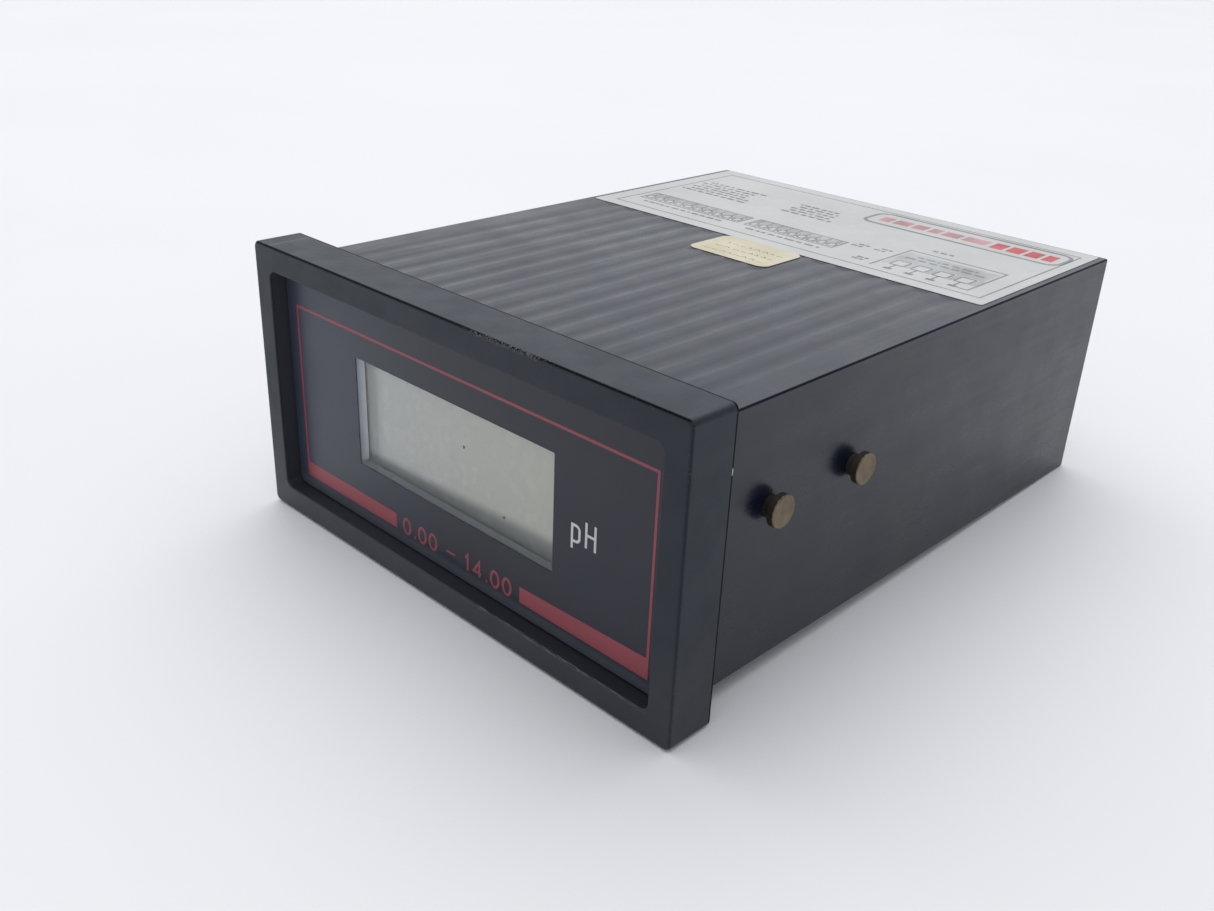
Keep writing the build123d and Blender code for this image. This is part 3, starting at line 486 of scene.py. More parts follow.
def finish_piece(name, bm, node, paints, flat=False, smooth_angle=40):
    """Turn a mesh in metres into a piece that stands for a CAD node, or adds to it."""
    bmesh.ops.recalc_face_normals(bm, faces=bm.faces)
    for face in bm.faces:
        face.smooth = not flat
    limit = math.radians(smooth_angle)
    for edge in bm.edges:
        edge.smooth = len(edge.link_faces) == 2 and edge.calc_face_angle(0) < limit
    mesh = bpy.data.meshes.new(name)
    bm.to_mesh(mesh)
    bm.free()
    for paint in paints:
        mesh.materials.append(paint.material)
    piece = bpy.data.objects.new(name, mesh)
    bpy.context.scene.collection.objects.link(piece)
    if not flat:
        weigh = piece.modifiers.new("even_normals", "WEIGHTED_NORMAL")
        weigh.keep_sharp = True
    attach(piece, BODY_OF[node])
    return piece


def refined(node, paints, width=0.12, segments=2, angle=32, choose=None):
    """Stand a copy of a CAD node in its place, its sharp edges eased, its faces painted by choose."""
    bm = bmesh.new()
    bm.from_mesh(NODES[node].data)
    bmesh.ops.remove_doubles(bm, verts=bm.verts, dist=0.002 * MM)
    bmesh.ops.dissolve_limit(bm, angle_limit=math.radians(1.0), verts=bm.verts, edges=bm.edges)
    if width:
        limit = math.radians(angle)
        sharp = [e for e in bm.edges if len(e.link_faces) == 2 and e.calc_face_angle(0) > limit]
        bmesh.ops.bevel(
            bm, geom=sharp, offset=width * MM, segments=segments, profile=0.5,
            affect="EDGES", clamp_overlap=False, loop_slide=True,
        )
    if choose:
        for face in bm.faces:
            face.material_index = choose(face.calc_center_median() / MM, face.normal)
    piece = finish_piece(f"{node}_model", bm, node, paints)
    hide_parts(node)


def rounded_loop(width, height, radius, centre=(0, 0), steps=6):
    """Points of a rounded rectangle, anticlockwise from its right side, as (across, up) pairs."""
    points = []
    for corner, (sx, sz) in enumerate(((1, 1), (-1, 1), (-1, -1), (1, -1))):
        cx = centre[0] + sx * (width / 2 - radius)
        cz = centre[1] + sz * (height / 2 - radius)
        for step in range(steps + 1):
            a = math.pi / 2 * (corner + step / steps)
            points.append((cx + radius * math.cos(a), cz + radius * math.sin(a)))
    return points


def loft(bm, loops, closed=False):
    """Join loops of (x, y, z) points in millimetres with quads, as a closed ring or with both ends filled."""
    rings = [[bm.verts.new(Vector(p) * MM) for p in loop] for loop in loops]
    pairs = list(zip(rings, rings[1:]))
    if closed:
        pairs.append((rings[-1], rings[0]))
    for a, b in pairs:
        for i in range(len(a)):
            j = (i + 1) % len(a)
            bm.faces.new((a[i], a[j], b[j], b[i]))
    if not closed:
        bm.faces.new(rings[0])
        bm.faces.new(rings[-1])


def upright(loop, y):
    """Put an (across, up) outline at a depth."""
    return [(x, y, z) for x, z in loop]


def level(loop, z):
    """Lay an (across, back) outline at a height."""
    return [(x, y, z) for x, y in loop]


def quarter(count):
    """The sine and cosine at this many even steps of a quarter turn, for a rounded edge."""
    return [(math.sin(a), math.cos(a)) for a in (math.pi / 2 * k / (count - 1) for k in range(count))]


def spokes(side, other, steps):
    """Directions at even steps round a full turn, from two that are square to each other."""
    turns = (2 * math.pi * k / steps for k in range(steps))
    return [side * math.cos(a) + other * math.sin(a) for a in turns]


def turned(bm, profile, centre, along, steps):
    """Turn a profile of (radius, distance) pairs about an axis through centre; it closes on the axis."""
    along = Vector(along).normalized()
    side = along.orthogonal().normalized()
    ways = spokes(side, along.cross(side), steps)
    loft(bm, [[Vector(centre) + along * distance + way * radius for way in ways] for radius, distance in profile])


def plate(bm, outline, low, high, place):
    """A thin flat shape between two levels, its outline set on a plane by place."""
    loft(bm, [place(outline, low), place(outline, high)])


def ribbon(points, width, closed=False):
    """The two edges of a line of even width through the points, mitred at its bends."""
    count = len(points)
    left, right_side = [], []
    for i, (x, z) in enumerate(points):
        directions = []
        if i or closed:
            x0, z0 = points[i - 1]
            directions.append(Vector((x - x0, z - z0)).normalized())
        if i < count - 1 or closed:
            x1, z1 = points[(i + 1) % count]
            directions.append(Vector((x1 - x, z1 - z)).normalized())
        along = sum(directions, Vector((0, 0))).normalized()
        normal = Vector((-along.y, along.x))
        half = width / 2 / max(0.35, abs(along.dot(directions[0])))
        left.append((x + normal.x * half, z + normal.y * half))
        right_side.append((x - normal.x * half, z - normal.y * half))
    return left, right_side


def draw_line(bm, points, width, low, high, place, closed=False):
    """A raised printed line of even width, on the plane that place sets."""
    left, other = ribbon(points, width, closed)
    count = len(points)
    a, b, c, d = (
        [bm.verts.new(Vector(p) * MM) for p in place(edge, depth)] for depth in (low, high) for edge in (left, other)
    )
    runs = count if closed else count - 1
    for i in range(runs):
        j = (i + 1) % count
        bm.faces.new((a[i], a[j], b[j], b[i]))
        bm.faces.new((c[i], d[i], d[j], c[j]))
        bm.faces.new((a[i], c[i], c[j], a[j]))
        bm.faces.new((b[i], b[j], d[j], d[i]))
    if not closed:
        bm.faces.new((a[0], b[0], d[0], c[0]))
        bm.faces.new((a[-1], c[-1], d[-1], b[-1]))


def arc(centre, radius_x, radius_z, start, end, steps):
    """Points along part of an ellipse, angles in degrees."""
    turns = (math.radians(start + (end - start) * k / steps) for k in range(steps + 1))
    return [(centre[0] + radius_x * math.cos(a), centre[1] + radius_z * math.sin(a)) for a in turns]


def corners(x0, z0, x1, z1):
    return [(x0, z0), (x1, z0), (x1, z1), (x0, z1)]


# ---- bezel

bezel_low, bezel_high = box_mm("bezel_frame")
overlay_low, overlay_high = box_mm("panel_overlay")
plate_low, plate_high = box_mm("panel_plate")
case_low, case_high = box_mm("case_shell")
BEZEL_W, BEZEL_H = bezel_high.x - bezel_low.x, bezel_high.z - bezel_low.z
BEZEL_FRONT, BEZEL_R = bezel_low.y, 1.0
OPENING_W, OPENING_H, OPENING_R = 87.5, 39.5, 1.5
FRONT_R, REAR_R, LIP_R = 0.5, 0.3, 0.25
PLATE_BACK = plate_high.y
LEDGE, LEDGE_R = 2.0, 1.0
LEDGE_BACK = PLATE_BACK + 1.35
LEDGE_W, LEDGE_H = OPENING_W - 2 * LEDGE, OPENING_H - 2 * LEDGE
INNER_W, INNER_H = 86.0, 38.0
REBATE_W, REBATE_H, REBATE_R, REBATE_Y = 90.4, 42.4, 1.2, -0.6


def bezel_loop(width, height, radius, y):
    return upright(rounded_loop(width, height, radius, steps=8), y)


def outer_loop(shrink, y):
    return bezel_loop(BEZEL_W - 2 * shrink, BEZEL_H - 2 * shrink, BEZEL_R - shrink * 0.5, y)


bm = bmesh.new()
ring = [
    bezel_loop(OPENING_W, OPENING_H, OPENING_R, PLATE_BACK),
    bezel_loop(OPENING_W, OPENING_H, OPENING_R, BEZEL_FRONT + LIP_R + 0.6),
]
for sine, cosine in quarter(6):
    grow = LIP_R * (1 - cosine)
    lip_y = BEZEL_FRONT + LIP_R * (1 - sine)
    ring.append(bezel_loop(OPENING_W + 2 * grow, OPENING_H + 2 * grow, OPENING_R + grow, lip_y))
ring += [outer_loop(FRONT_R * (1 - sine), BEZEL_FRONT + FRONT_R * (1 - cosine)) for sine, cosine in quarter(6)]
ring += [outer_loop(REAR_R * (1 - cosine), -REAR_R * (1 - sine)) for sine, cosine in quarter(4)]
ring += [
    bezel_loop(REBATE_W + 0.2, REBATE_H + 0.2, REBATE_R + 0.1, 0.0),
    bezel_loop(REBATE_W, REBATE_H, REBATE_R, -0.1),
    bezel_loop(REBATE_W, REBATE_H, REBATE_R, REBATE_Y),
    bezel_loop(INNER_W, INNER_H, LEDGE_R, REBATE_Y),
    bezel_loop(INNER_W, INNER_H, LEDGE_R, LEDGE_BACK),
    bezel_loop(LEDGE_W, LEDGE_H, LEDGE_R, LEDGE_BACK),
    bezel_loop(LEDGE_W, LEDGE_H, LEDGE_R, PLATE_BACK),
]
loft(bm, ring, closed=True)
LEG_X, LEG_W, LEG_LOW, LEG_HIGH, LEG_END = 25.0, 10.0, 17.75, 18.8, bezel_high.y
LEG_THICK = LEG_HIGH - LEG_LOW
for sx in (-1, 1):
    for sz in (-1, 1):
        middle = (sx * LEG_X, sz * (LEG_LOW + LEG_HIGH) / 2)
        foot = rounded_loop(LEG_W, LEG_THICK, 0.15, middle, 2)
        tip = rounded_loop(LEG_W - 1.0, LEG_THICK - 0.5, 0.1, middle, 2)
        loft(bm, [upright(foot, LEDGE_BACK - 0.2), upright(foot, LEG_END - 1.2), upright(tip, LEG_END)])
bezel = finish_piece("bezel_frame_model", bm, "bezel_frame", [bezel_paint], smooth_angle=30)
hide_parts("bezel_frame")

# ---- front

WINDOW_W, WINDOW_H, WINDOW_X, WINDOW_Z, WINDOW_R = 46.5, 18.8, -1.2, 0.3, 0.25
PANEL_W, PANEL_H = overlay_high.x - overlay_low.x, overlay_high.z - overlay_low.z
PANEL_R = 1.3
OVERLAY_EASE = 0.04
window_loop = rounded_loop(WINDOW_W, WINDOW_H, WINDOW_R, (WINDOW_X, WINDOW_Z))
panel_loop = rounded_loop(PANEL_W, PANEL_H, PANEL_R)
panel_inner = rounded_loop(PANEL_W - 2 * OVERLAY_EASE, PANEL_H - 2 * OVERLAY_EASE, PANEL_R)

bm = bmesh.new()
loft(bm, [
    upright(window_loop, overlay_high.y),
    upright(window_loop, overlay_low.y),
    upright(panel_inner, overlay_low.y),
    upright(panel_loop, overlay_low.y + OVERLAY_EASE),
    upright(panel_loop, overlay_high.y),
], closed=True)
overlay = finish_piece("panel_overlay_model", bm, "panel_overlay", [overlay_paint])
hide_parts("panel_overlay")

bm = bmesh.new()
clear_loop = rounded_loop(WINDOW_W - 0.02, WINDOW_H - 0.02, WINDOW_R, (WINDOW_X, WINDOW_Z), 3)
plate(bm, clear_loop, overlay_low.y + 0.01, overlay_high.y - 0.01, upright)
window = finish_piece("display_window", bm, "panel_overlay", [film_paint], flat=True)
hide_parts("panel_overlay")

bm = bmesh.new()
loft(bm, [
    upright(window_loop, PLATE_BACK),
    upright(window_loop, plate_low.y),
    upright(panel_loop, plate_low.y),
    upright(panel_loop, PLATE_BACK),
], closed=True)
for face in bm.faces:
    c = face.calc_center_median() / MM
    inside = abs(c.x - WINDOW_X) < WINDOW_W / 2 + 0.01 and abs(c.z - WINDOW_Z) < WINDOW_H / 2 + 0.01
    face.material_index = int(inside and plate_low.y + 0.1 < c.y < PLATE_BACK - 0.1)
panel_back = finish_piece("panel_plate_model", bm, "panel_plate", [plate_paint, window_wall_paint])
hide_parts("panel_plate")

# Red frame, red bars and range numerals, and the white unit, as raised ink
INK = 0.02
INK_FRONT = overlay_low.y - INK
FRAME_LEFT, FRAME_RIGHT, FRAME_TOP = -40.6, 40.9, 14.0
BAR_LOW, BAR_HIGH, BAR_FLARE = -17.3, -14.6, 0.7
GAP_LEFT, GAP_RIGHT = -14.9, 15.2
LINE_W = 0.45


def ink(bm, points, width, closed=False):
    draw_line(bm, points, width, INK_FRONT, overlay_low.y, upright, closed)


def ink_bar(bm, x0, z0, x1, z1):
    plate(bm, corners(x0, z0, x1, z1), INK_FRONT, overlay_low.y, upright)


bm = bmesh.new()
ink(bm, [
    (FRAME_LEFT, BAR_HIGH), (FRAME_LEFT, FRAME_TOP),
    (FRAME_RIGHT, FRAME_TOP), (FRAME_RIGHT, BAR_HIGH + BAR_FLARE),
], LINE_W)
ink_bar(bm, FRAME_LEFT - LINE_W / 2, BAR_LOW, GAP_LEFT, BAR_HIGH)
right_end = FRAME_RIGHT + LINE_W / 2
bar_outline = [
    (GAP_RIGHT, BAR_LOW), (right_end, BAR_LOW), (right_end, BAR_HIGH + BAR_FLARE), (GAP_RIGHT, BAR_HIGH),
]
plate(bm, bar_outline, INK_FRONT, overlay_low.y, upright)

DIGIT_W, DIGIT_H, STROKE = 1.75, 2.7, 0.46


def digit_zero(x, z):
    """The lines that make a digit, each with whether it closes on itself."""
    return [(arc((x + DIGIT_W / 2, z + DIGIT_H / 2), DIGIT_W / 2, DIGIT_H / 2, 0, 360, 28)[:-1], True)]


def digit_one(x, z):
    return [([(x + 0.35, z + DIGIT_H - 0.55), (x + 0.85, z + DIGIT_H), (x + 0.85, z)], False)]


def digit_four(x, z):
    stem, bar = x + DIGIT_W - 0.42, z + 0.75
    return [
        ([(x + DIGIT_W, bar), (x, bar), (stem, z + DIGIT_H), (stem, z + 0.94)], False),
        ([(stem, z + 0.56), (stem, z)], False),
    ]


STROKES = {"0": digit_zero, "1": digit_one, "4": digit_four}
DASH_W, DASH_HALF, DOT_W = 2.2, 0.19, 0.42
ADVANCES = {" ": 1.5, ".": 1.25, "-": 2.9, "0": 2.75, "1": 2.3, "4": 2.8}
LAST_GAP = 0.9
RANGE_TEXT = "0.00 - 14.00"
TEXT_Z = (BAR_LOW + BAR_HIGH) / 2 - DIGIT_H / 2
text_width = sum(ADVANCES[sign] for sign in RANGE_TEXT) - LAST_GAP
x = (GAP_LEFT + GAP_RIGHT) / 2 - text_width / 2
for sign in RANGE_TEXT:
    if sign == ".":
        ink_bar(bm, x, TEXT_Z - 0.05, x + DOT_W, TEXT_Z + 0.4)
    elif sign == "-":
        dash_z = TEXT_Z + DIGIT_H / 2
        ink_bar(bm, x, dash_z - DASH_HALF, x + DASH_W, dash_z + DASH_HALF)
    elif sign in STROKES:
        for points, closed in STROKES[sign](x, TEXT_Z):
            ink(bm, points, STROKE, closed)
    x += ADVANCES[sign]
finish_piece("front_red_print", bm, "panel_overlay", [red_paint], flat=True)

bm = bmesh.new()
UNIT_W = 0.42
P_X, P_TOP, P_LOW = 25.86, 0.62, -3.3
BOWL_X, BOWL_HIGH, BOWL_LOW, BOWL_ACROSS, BOWL_UP = 26.55, -0.25, -1.4, 0.76, 0.67
ink(bm, [(P_X, P_TOP), (P_X, P_LOW)], UNIT_W)
bowl = [(P_X + UNIT_W / 2, BOWL_HIGH + BOWL_UP)]
bowl += arc((BOWL_X, BOWL_HIGH), BOWL_ACROSS, BOWL_UP, 80, 0, 8)
bowl += arc((BOWL_X, BOWL_LOW), BOWL_ACROSS, BOWL_UP, 0, -80, 8)
bowl += [(P_X + UNIT_W / 2, BOWL_LOW - BOWL_UP)]
ink(bm, bowl, UNIT_W)
H_LEFT, H_RIGHT, H_TOP, H_LOW, H_BAR = 28.6, 30.33, 1.7, -2.25, -0.2
ink(bm, [(H_LEFT, H_TOP), (H_LEFT, H_LOW)], UNIT_W)
ink(bm, [(H_RIGHT, H_TOP), (H_RIGHT, H_LOW)], UNIT_W)
ink(bm, [(H_LEFT + UNIT_W / 2, H_BAR), (H_RIGHT - UNIT_W / 2, H_BAR)], UNIT_W)
finish_piece("front_unit_print", bm, "panel_overlay", [white_paint], flat=True)

# Two dark specks on the window, and a pale fleck on the bezel's rear edge
bm = bmesh.new()
SPECKS = ((2.7, 3.6, 0.23), (11.7, -4.5, 0.18))
for x, z, size in SPECKS:
    speck = [
        (x + size * random.uniform(0.6, 1) * math.cos(a), z + 1.6 * size * random.uniform(0.6, 1) * math.sin(a))
        for a in (math.pi / 5 * k for k in range(10))
    ]
    plate(bm, speck, INK_FRONT, overlay_low.y + 0.03, upright)
finish_piece("window_specks", bm, "panel_overlay", [plate_paint], flat=True)
bm = bmesh.new()
fleck = [(-0.42, 14.4), (-0.30, 14.5), (-0.24, 15.0), (-0.30, 15.5), (-0.40, 15.3), (-0.38, 14.9)]
loft(bm, [[(bezel_high.x + out, y, z) for y, z in fleck] for out in (-0.05, 0.02)])
finish_piece("bezel_fleck", bm, "bezel_frame", [white_paint], flat=True)

# ---- display

cell_low, cell_high = box_mm("lcd_cell")
cell_centre = ((cell_low.x + cell_high.x) / 2, (cell_low.z + cell_high.z) / 2)
cell_w, cell_h = cell_high.x - cell_low.x, cell_high.z - cell_low.z
CELL_R, GLASS_T, GLASS_EASE = 0.2, 0.2, 0.15
SEALED = 2.0
glass_h = cell_h - 2 * SEALED
reflector_y = cell_low.y + GLASS_T

bm = bmesh.new()
plate(bm, rounded_loop(cell_w, cell_h, CELL_R, cell_centre, 2), cell_high.y, reflector_y, upright)
reflector = finish_piece("lcd_reflector", bm, "lcd_cell", [lcd_paint], flat=True)
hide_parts("lcd_cell")

bm = bmesh.new()
glass_loop = rounded_loop(cell_w, glass_h, CELL_R, cell_centre, 2)
glass_front = rounded_loop(cell_w - 2 * GLASS_EASE, glass_h - 2 * GLASS_EASE, CELL_R, cell_centre, 2)
loft(bm, [
    upright(glass_front, cell_low.y),
    upright(glass_loop, cell_low.y + GLASS_EASE),
    upright(glass_loop, reflector_y - 0.02),
])
glass = finish_piece("lcd_front_glass", bm, "lcd_cell", [glass_paint], flat=True)
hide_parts("lcd_cell")

refined("lcd_frame", [black_paint], 0.15)
refined("contact_strips", [zebra_paint], 0.1)

# ---- case

refined("case_shell", [case_paint], 0.15, angle=50)
refined("rear_panel", [black_paint], 0.2)
refined("rear_screws", [zinc_paint], 0.08)

# Studs: turned brass with a knurled rim and a dished face, dark but for the face: oxide, and painted shade that blends
# the neck into its shadow
STUD_YS, STUD_Z = (12.6, 32.2), 4.5
STUD_PROFILE = [
    (0.001, -2.8), (2.1, -2.8), (2.3, -2.6), (2.3, -2.05), (1.45, -2.0), (1.45, 0.0), (1.7, 0.02), (1.7, 1.15),
    (2.3, 1.2), (2.46, 1.32), (2.5, 1.45), (2.5, 2.2), (2.46, 2.34), (2.36, 2.42), (2.24, 2.43), (2.12, 2.39),
    (1.98, 2.36), (1.2, 2.35), (0.5, 2.35), (0.001, 2.35),
]
STUD_FACE = 2.25
KNURLS, KNURL_DEPTH, KNURL_FROM, KNURL_RADIUS = 16, 0.09, 1.4, 2.4
CASE_SIDE = case_high.x
bm = bmesh.new()
for sx in (-1, 1):
    for y in STUD_YS:
        turned(bm, STUD_PROFILE, (sx * CASE_SIDE, y, STUD_Z), (sx, 0, 0), 48)
for vert in bm.verts:
    place = vert.co / MM
    near = min(STUD_YS, key=lambda y: abs(y - place.y))
    spoke = Vector((0, place.y - near, place.z - STUD_Z))
    if KNURL_FROM < abs(place.x) - CASE_SIDE < STUD_FACE and spoke.length > KNURL_RADIUS:
        turn = math.atan2(spoke.z, spoke.y)
        vert.co -= spoke.normalized() * MM * KNURL_DEPTH * (0.5 + 0.5 * math.cos(turn * KNURLS))
for face in bm.faces:
    face.material_index = int(abs(face.calc_center_median().x) / MM - CASE_SIDE < STUD_FACE)
studs = finish_piece("clamp_studs_model", bm, "clamp_studs", [brass_paint, brass_dark_paint], smooth_angle=45)
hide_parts("clamp_studs")

# ---- label

label_low, label_high = box_mm("type_label")
seal_low, seal_high = box_mm("seal_sticker")
LABEL_R, SEAL_R = 0.6, 1.8
LABEL_TOP = label_high.z
LABEL_INK = LABEL_TOP + 0.015
CASE_TOP = label_low.z
FLUTE = 0.21
SUNK, FLUSH = CASE_TOP - FLUTE, CASE_TOP - 0.01


def sheet_loop(low, high, grow, radius):
    """The outline of a sheet made this much wider and deeper, as (across, back) pairs."""
    middle = ((low.x + high.x) / 2, (low.y + high.y) / 2)
    return rounded_loop(high.x - low.x + grow, high.y - low.y + grow, radius, middle, 8)


# Each thin sheet has a softened edge, with a black sheet round its foot as a painted shadow line
for name, node, low, high, radius, paint in (
    ("label", "type_label", label_low, label_high, LABEL_R, label_paint),
    ("seal", "seal_sticker", seal_low, seal_high, SEAL_R, seal_paint),
):
    bm = bmesh.new()
    outer = sheet_loop(low, high, 0.0, radius)
    inner = sheet_loop(low, high, -0.1, radius)
    loft(bm, [level(outer, low.z + 0.005), level(outer, high.z - 0.04), level(inner, high.z)])
    piece = finish_piece(node + "_model", bm, node, [paint])
    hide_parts(node)
    bm = bmesh.new()
    plate(bm, sheet_loop(low, high, 0.08, radius), low.z - 0.05, high.z - 0.05, level)
    finish_piece(name + "_painted_shadow_line", bm, node, [plate_paint], flat=True)

# The flutes are filled with a slope up to each sheet
bm = bmesh.new()
loft(bm, [
    level(sheet_loop(seal_low, seal_high, 2.4, 3.0), SUNK),
    level(sheet_loop(seal_low, seal_high, 0.02, SEAL_R), FLUSH),
])
finish_piece("seal_bedding", bm, "seal_sticker", [case_paint])
bm = bmesh.new()
BEDDING_X, BEDDING_BACK = 41, label_low.y + 0.3
loft(bm, [
    level(corners(-BEDDING_X, label_low.y - 1.3, BEDDING_X, BEDDING_BACK), SUNK),
    level(corners(-BEDDING_X, label_low.y - 0.01, BEDDING_X, BEDDING_BACK), FLUSH),
])
finish_piece("label_bedding", bm, "type_label", [case_paint])


def label_line(bm, points, width, closed=False):
    draw_line(bm, points, width, LABEL_TOP, LABEL_INK, level, closed)


def label_bar(bm, x0, y0, x1, y1, top=LABEL_INK):
    plate(bm, corners(x0, y0, x1, y1), LABEL_TOP, top, level)


def greeked(bm, x0, x1, y, height):
    """A row of small bars that reads as a line of small print from afar, with no letters in it."""
    x = x0
    while x < x1 - 0.5:
        word = random.uniform(0.5, 2.2)
        label_bar(bm, x, y, min(x + word, x1), y + height)
        x += word + random.uniform(0.35, 0.7)


def terminal_row(bm, x0, x1, y0, y1, count):
    """A drawn terminal strip: a box with a rounded terminal and a wire end for each pole."""
    label_line(bm, corners(x0, y0, x1, y1), 0.3, True)
    pitch = (x1 - x0) / count
    for k in range(count):
        x = x0 + pitch * (k + 0.5)
        label_line(bm, rounded_loop(pitch * 0.62, 1.9, 0.5, (x, y0 + 1.7), 4), 0.34, True)
        label_line(bm, [(x, y0 + 2.8), (x, y1 - 0.3)], 0.34)
        if k:
            label_line(bm, [(x - pitch / 2, y0 + 0.2), (x - pitch / 2, y0 + 3.0)], 0.22)


bm = bmesh.new()
BORDER_LEFT, BORDER_RIGHT, BORDER_FRONT, BORDER_REAR = -40.2, 41.6, 69.6, 106.6
label_line(bm, corners(BORDER_LEFT, BORDER_FRONT, BORDER_RIGHT, BORDER_REAR), 0.3, True)
terminal_row(bm, -38.6, -13.2, 75.0, 80.2, 10)
terminal_row(bm, -11.4, 8.9, 75.0, 80.4, 9)
greeked(bm, -36.0, -15.0, 72.9, 0.7)
greeked(bm, -9.5, 7.5, 72.7, 0.7)
for x0, x1, y0, rows in ((-39.0, -22.0, 88.2, 6), (-14.0, -1.2, 89.8, 5), (22.0, 28.5, 87.9, 1)):
    for row in range(rows):
        greeked(bm, x0 + row % 2, x1 - random.uniform(0, 3), y0 + row * 1.7, 0.75)
for x, y in ((9.9, 79.6), (10.7, 80.9), (14.4, 80.2), (15.2, 81.5), (14.7, 72.6), (15.1, 73.8)):
    label_bar(bm, x, y, x + 1.2, y + 0.7)
    label_bar(bm, x + 1.5, y, x + 2.3, y + 0.7)
BOX_LEFT, BOX_RIGHT, BOX_FRONT, BOX_REAR = 19.2, 38.2, 71.8, 85.4
label_line(bm, [
    (BOX_LEFT, BOX_FRONT), (BOX_LEFT, BOX_REAR), (BOX_RIGHT, BOX_REAR),
    (BOX_RIGHT, BOX_FRONT), (BOX_RIGHT - 2, BOX_FRONT),
], 0.4)
SQUARES = (22.6, 26.8, 31.0, 35.2)
for x in SQUARES:
    label_line(bm, rounded_loop(2.7, 3.0, 0.3, (x, 76.4), 3), 0.4, True)
    label_line(bm, [(x, 74.9), (x, 72.6)], 0.32)
    label_bar(bm, x - 0.8, 71.6, x + 0.8, 72.5)
greeked(bm, 21.0, 36.5, 80.2, 0.8)
greeked(bm, 22.5, 35.0, 81.9, 0.7)
label_line(bm, rounded_loop(40.8, 8.4, 2.4, (20.8, 101.3)), 0.75, True)
finish_piece("label_print", bm, "type_label", [label_ink_paint], flat=True)

bm = bmesh.new()
PALE_TOP = LABEL_TOP + 0.006
label_bar(bm, -38.4, 77.9, -13.4, 80.0, PALE_TOP)
label_bar(bm, -11.2, 77.9, 8.7, 80.2, PALE_TOP)
label_bar(bm, BOX_LEFT + 0.6, 78.3, BOX_RIGHT - 0.6, 84.0, PALE_TOP)
for left, after in zip((BOX_LEFT + 0.4, *SQUARES), (*SQUARES, BOX_RIGHT - 0.2)):
    start = left + (1.7 if left in SQUARES else 0.2)
    stop = after - 1.7 if after in SQUARES else after
    label_bar(bm, start, 74.6, stop, 78.2, PALE_TOP)
finish_piece("label_pale_print", bm, "type_label", [label_pale_paint], flat=True)

bm = bmesh.new()
for x0, x1 in ((27.0, 29.6), (30.3, 33.2), (33.9, 36.6), (37.3, 39.4)):
    label_bar(bm, x0, 99.2, x1, 103.2)
finish_piece("label_red_print", bm, "type_label", [label_red_paint], flat=True)
bm = bmesh.new()
for x0, x1 in ((2.8, 5.2), (5.9, 9.4), (10.1, 13.0), (13.8, 16.0), (16.7, 20.4), (21.1, 26.0)):
    label_bar(bm, x0, 99.6, x1, 102.8)
finish_piece("label_faded_print", bm, "type_label", [label_pink_paint], flat=True)

# Faint writing-like marks on the seal
bm = bmesh.new()
SEAL_INK = seal_high.z + 0.012
SEAL_ROWS = (56.9, 59.6, 62.3)
for row, y in enumerate(SEAL_ROWS):
    x = seal_low.x + 2.4 + row * 0.5
    while x < seal_high.x - 2.6:
        length = random.uniform(0.5, 1.5)
        rise = random.uniform(-0.35, 0.35)
        points = [(x, y), (x + length * 0.5, y + rise + 0.3), (x + length, y - rise * 0.5)]
        draw_line(bm, points, 0.2, seal_high.z, SEAL_INK, level)
        x += length + random.uniform(0.3, 0.7)
finish_piece("seal_marks", bm, "seal_sticker", [seal_ink_paint], flat=True)

# ---- electronics

BOARD_TOP = -12.0
coil_low = box_mm("transformer_coil")[0]


def link_part(c, n):
    """0 on the board link's plastic strip and 1 on its pins, from a face's centre and normal."""
    on_strip = c.z > -12.1 and 3.7 < c.y < 7.0 and (c.z > -9.6 or c.y > 6.9)
    return 0 if abs(c.x) > 25.3 or (on_strip and abs(n.z) + abs(n.y) > 0.9) else 1


for board in ("main_board", "display_board"):
    refined(board, [board_paint], 0.0)
refined("board_link", [black_paint, tin_paint], 0.0, choose=link_part)
refined("corner_brackets", [zinc_paint], 0.15)
refined("bracket_screws", [zinc_paint], 0.1)
refined("transformer_core", [core_paint], 0.12)
refined("transformer_coil", [tape_paint, bobbin_paint], 0.2, choose=lambda c, n: int(c.z < coil_low.z + 6.2))
refined("heat_sink", [sink_paint], 0.12)
refined("fuse_clips", [nickel_paint], 0.1)
# A black body, with its tinned legs outside it
for node, is_leg in (
    ("bridge_rectifier", lambda c, n: int(not 45.95 < c.y < 52.45)),
    ("regulator", lambda c, n: int(c.z < -8.1 or c.y > 59.1)),
    ("adc_chip", lambda c, n: int(not 16.95 < c.y < 31.05)),
    ("amplifier_chips", lambda c, n: int(min(abs(c.y - 18), abs(c.y - 30)) > 3.25)),
):
    refined(node, [black_paint, tin_paint], 0.1, choose=is_leg)
refined("film_capacitors", [film_case_paint], 0.35, 3)
refined("trimmer_bodies", [blue_paint], 0.15)
for strip in ("signal", "supply"):
    refined(f"{strip}_header", [green_paint], 0.15)
    refined(f"{strip}_plug", [green_paint], 0.12)
    for part in ("pins", "contacts"):
        NODES[f"{strip}_{part}"].data.materials.clear()
        NODES[f"{strip}_{part}"].data.materials.append(tin_paint.material)
for node in NODES:
    if "_cage_" in node or "_screw_" in node:
        refined(node, [nickel_paint], 0.08)
for node in ("zero_screw", "span_screw"):
    refined(node, [screw_brass_paint], 0.06)

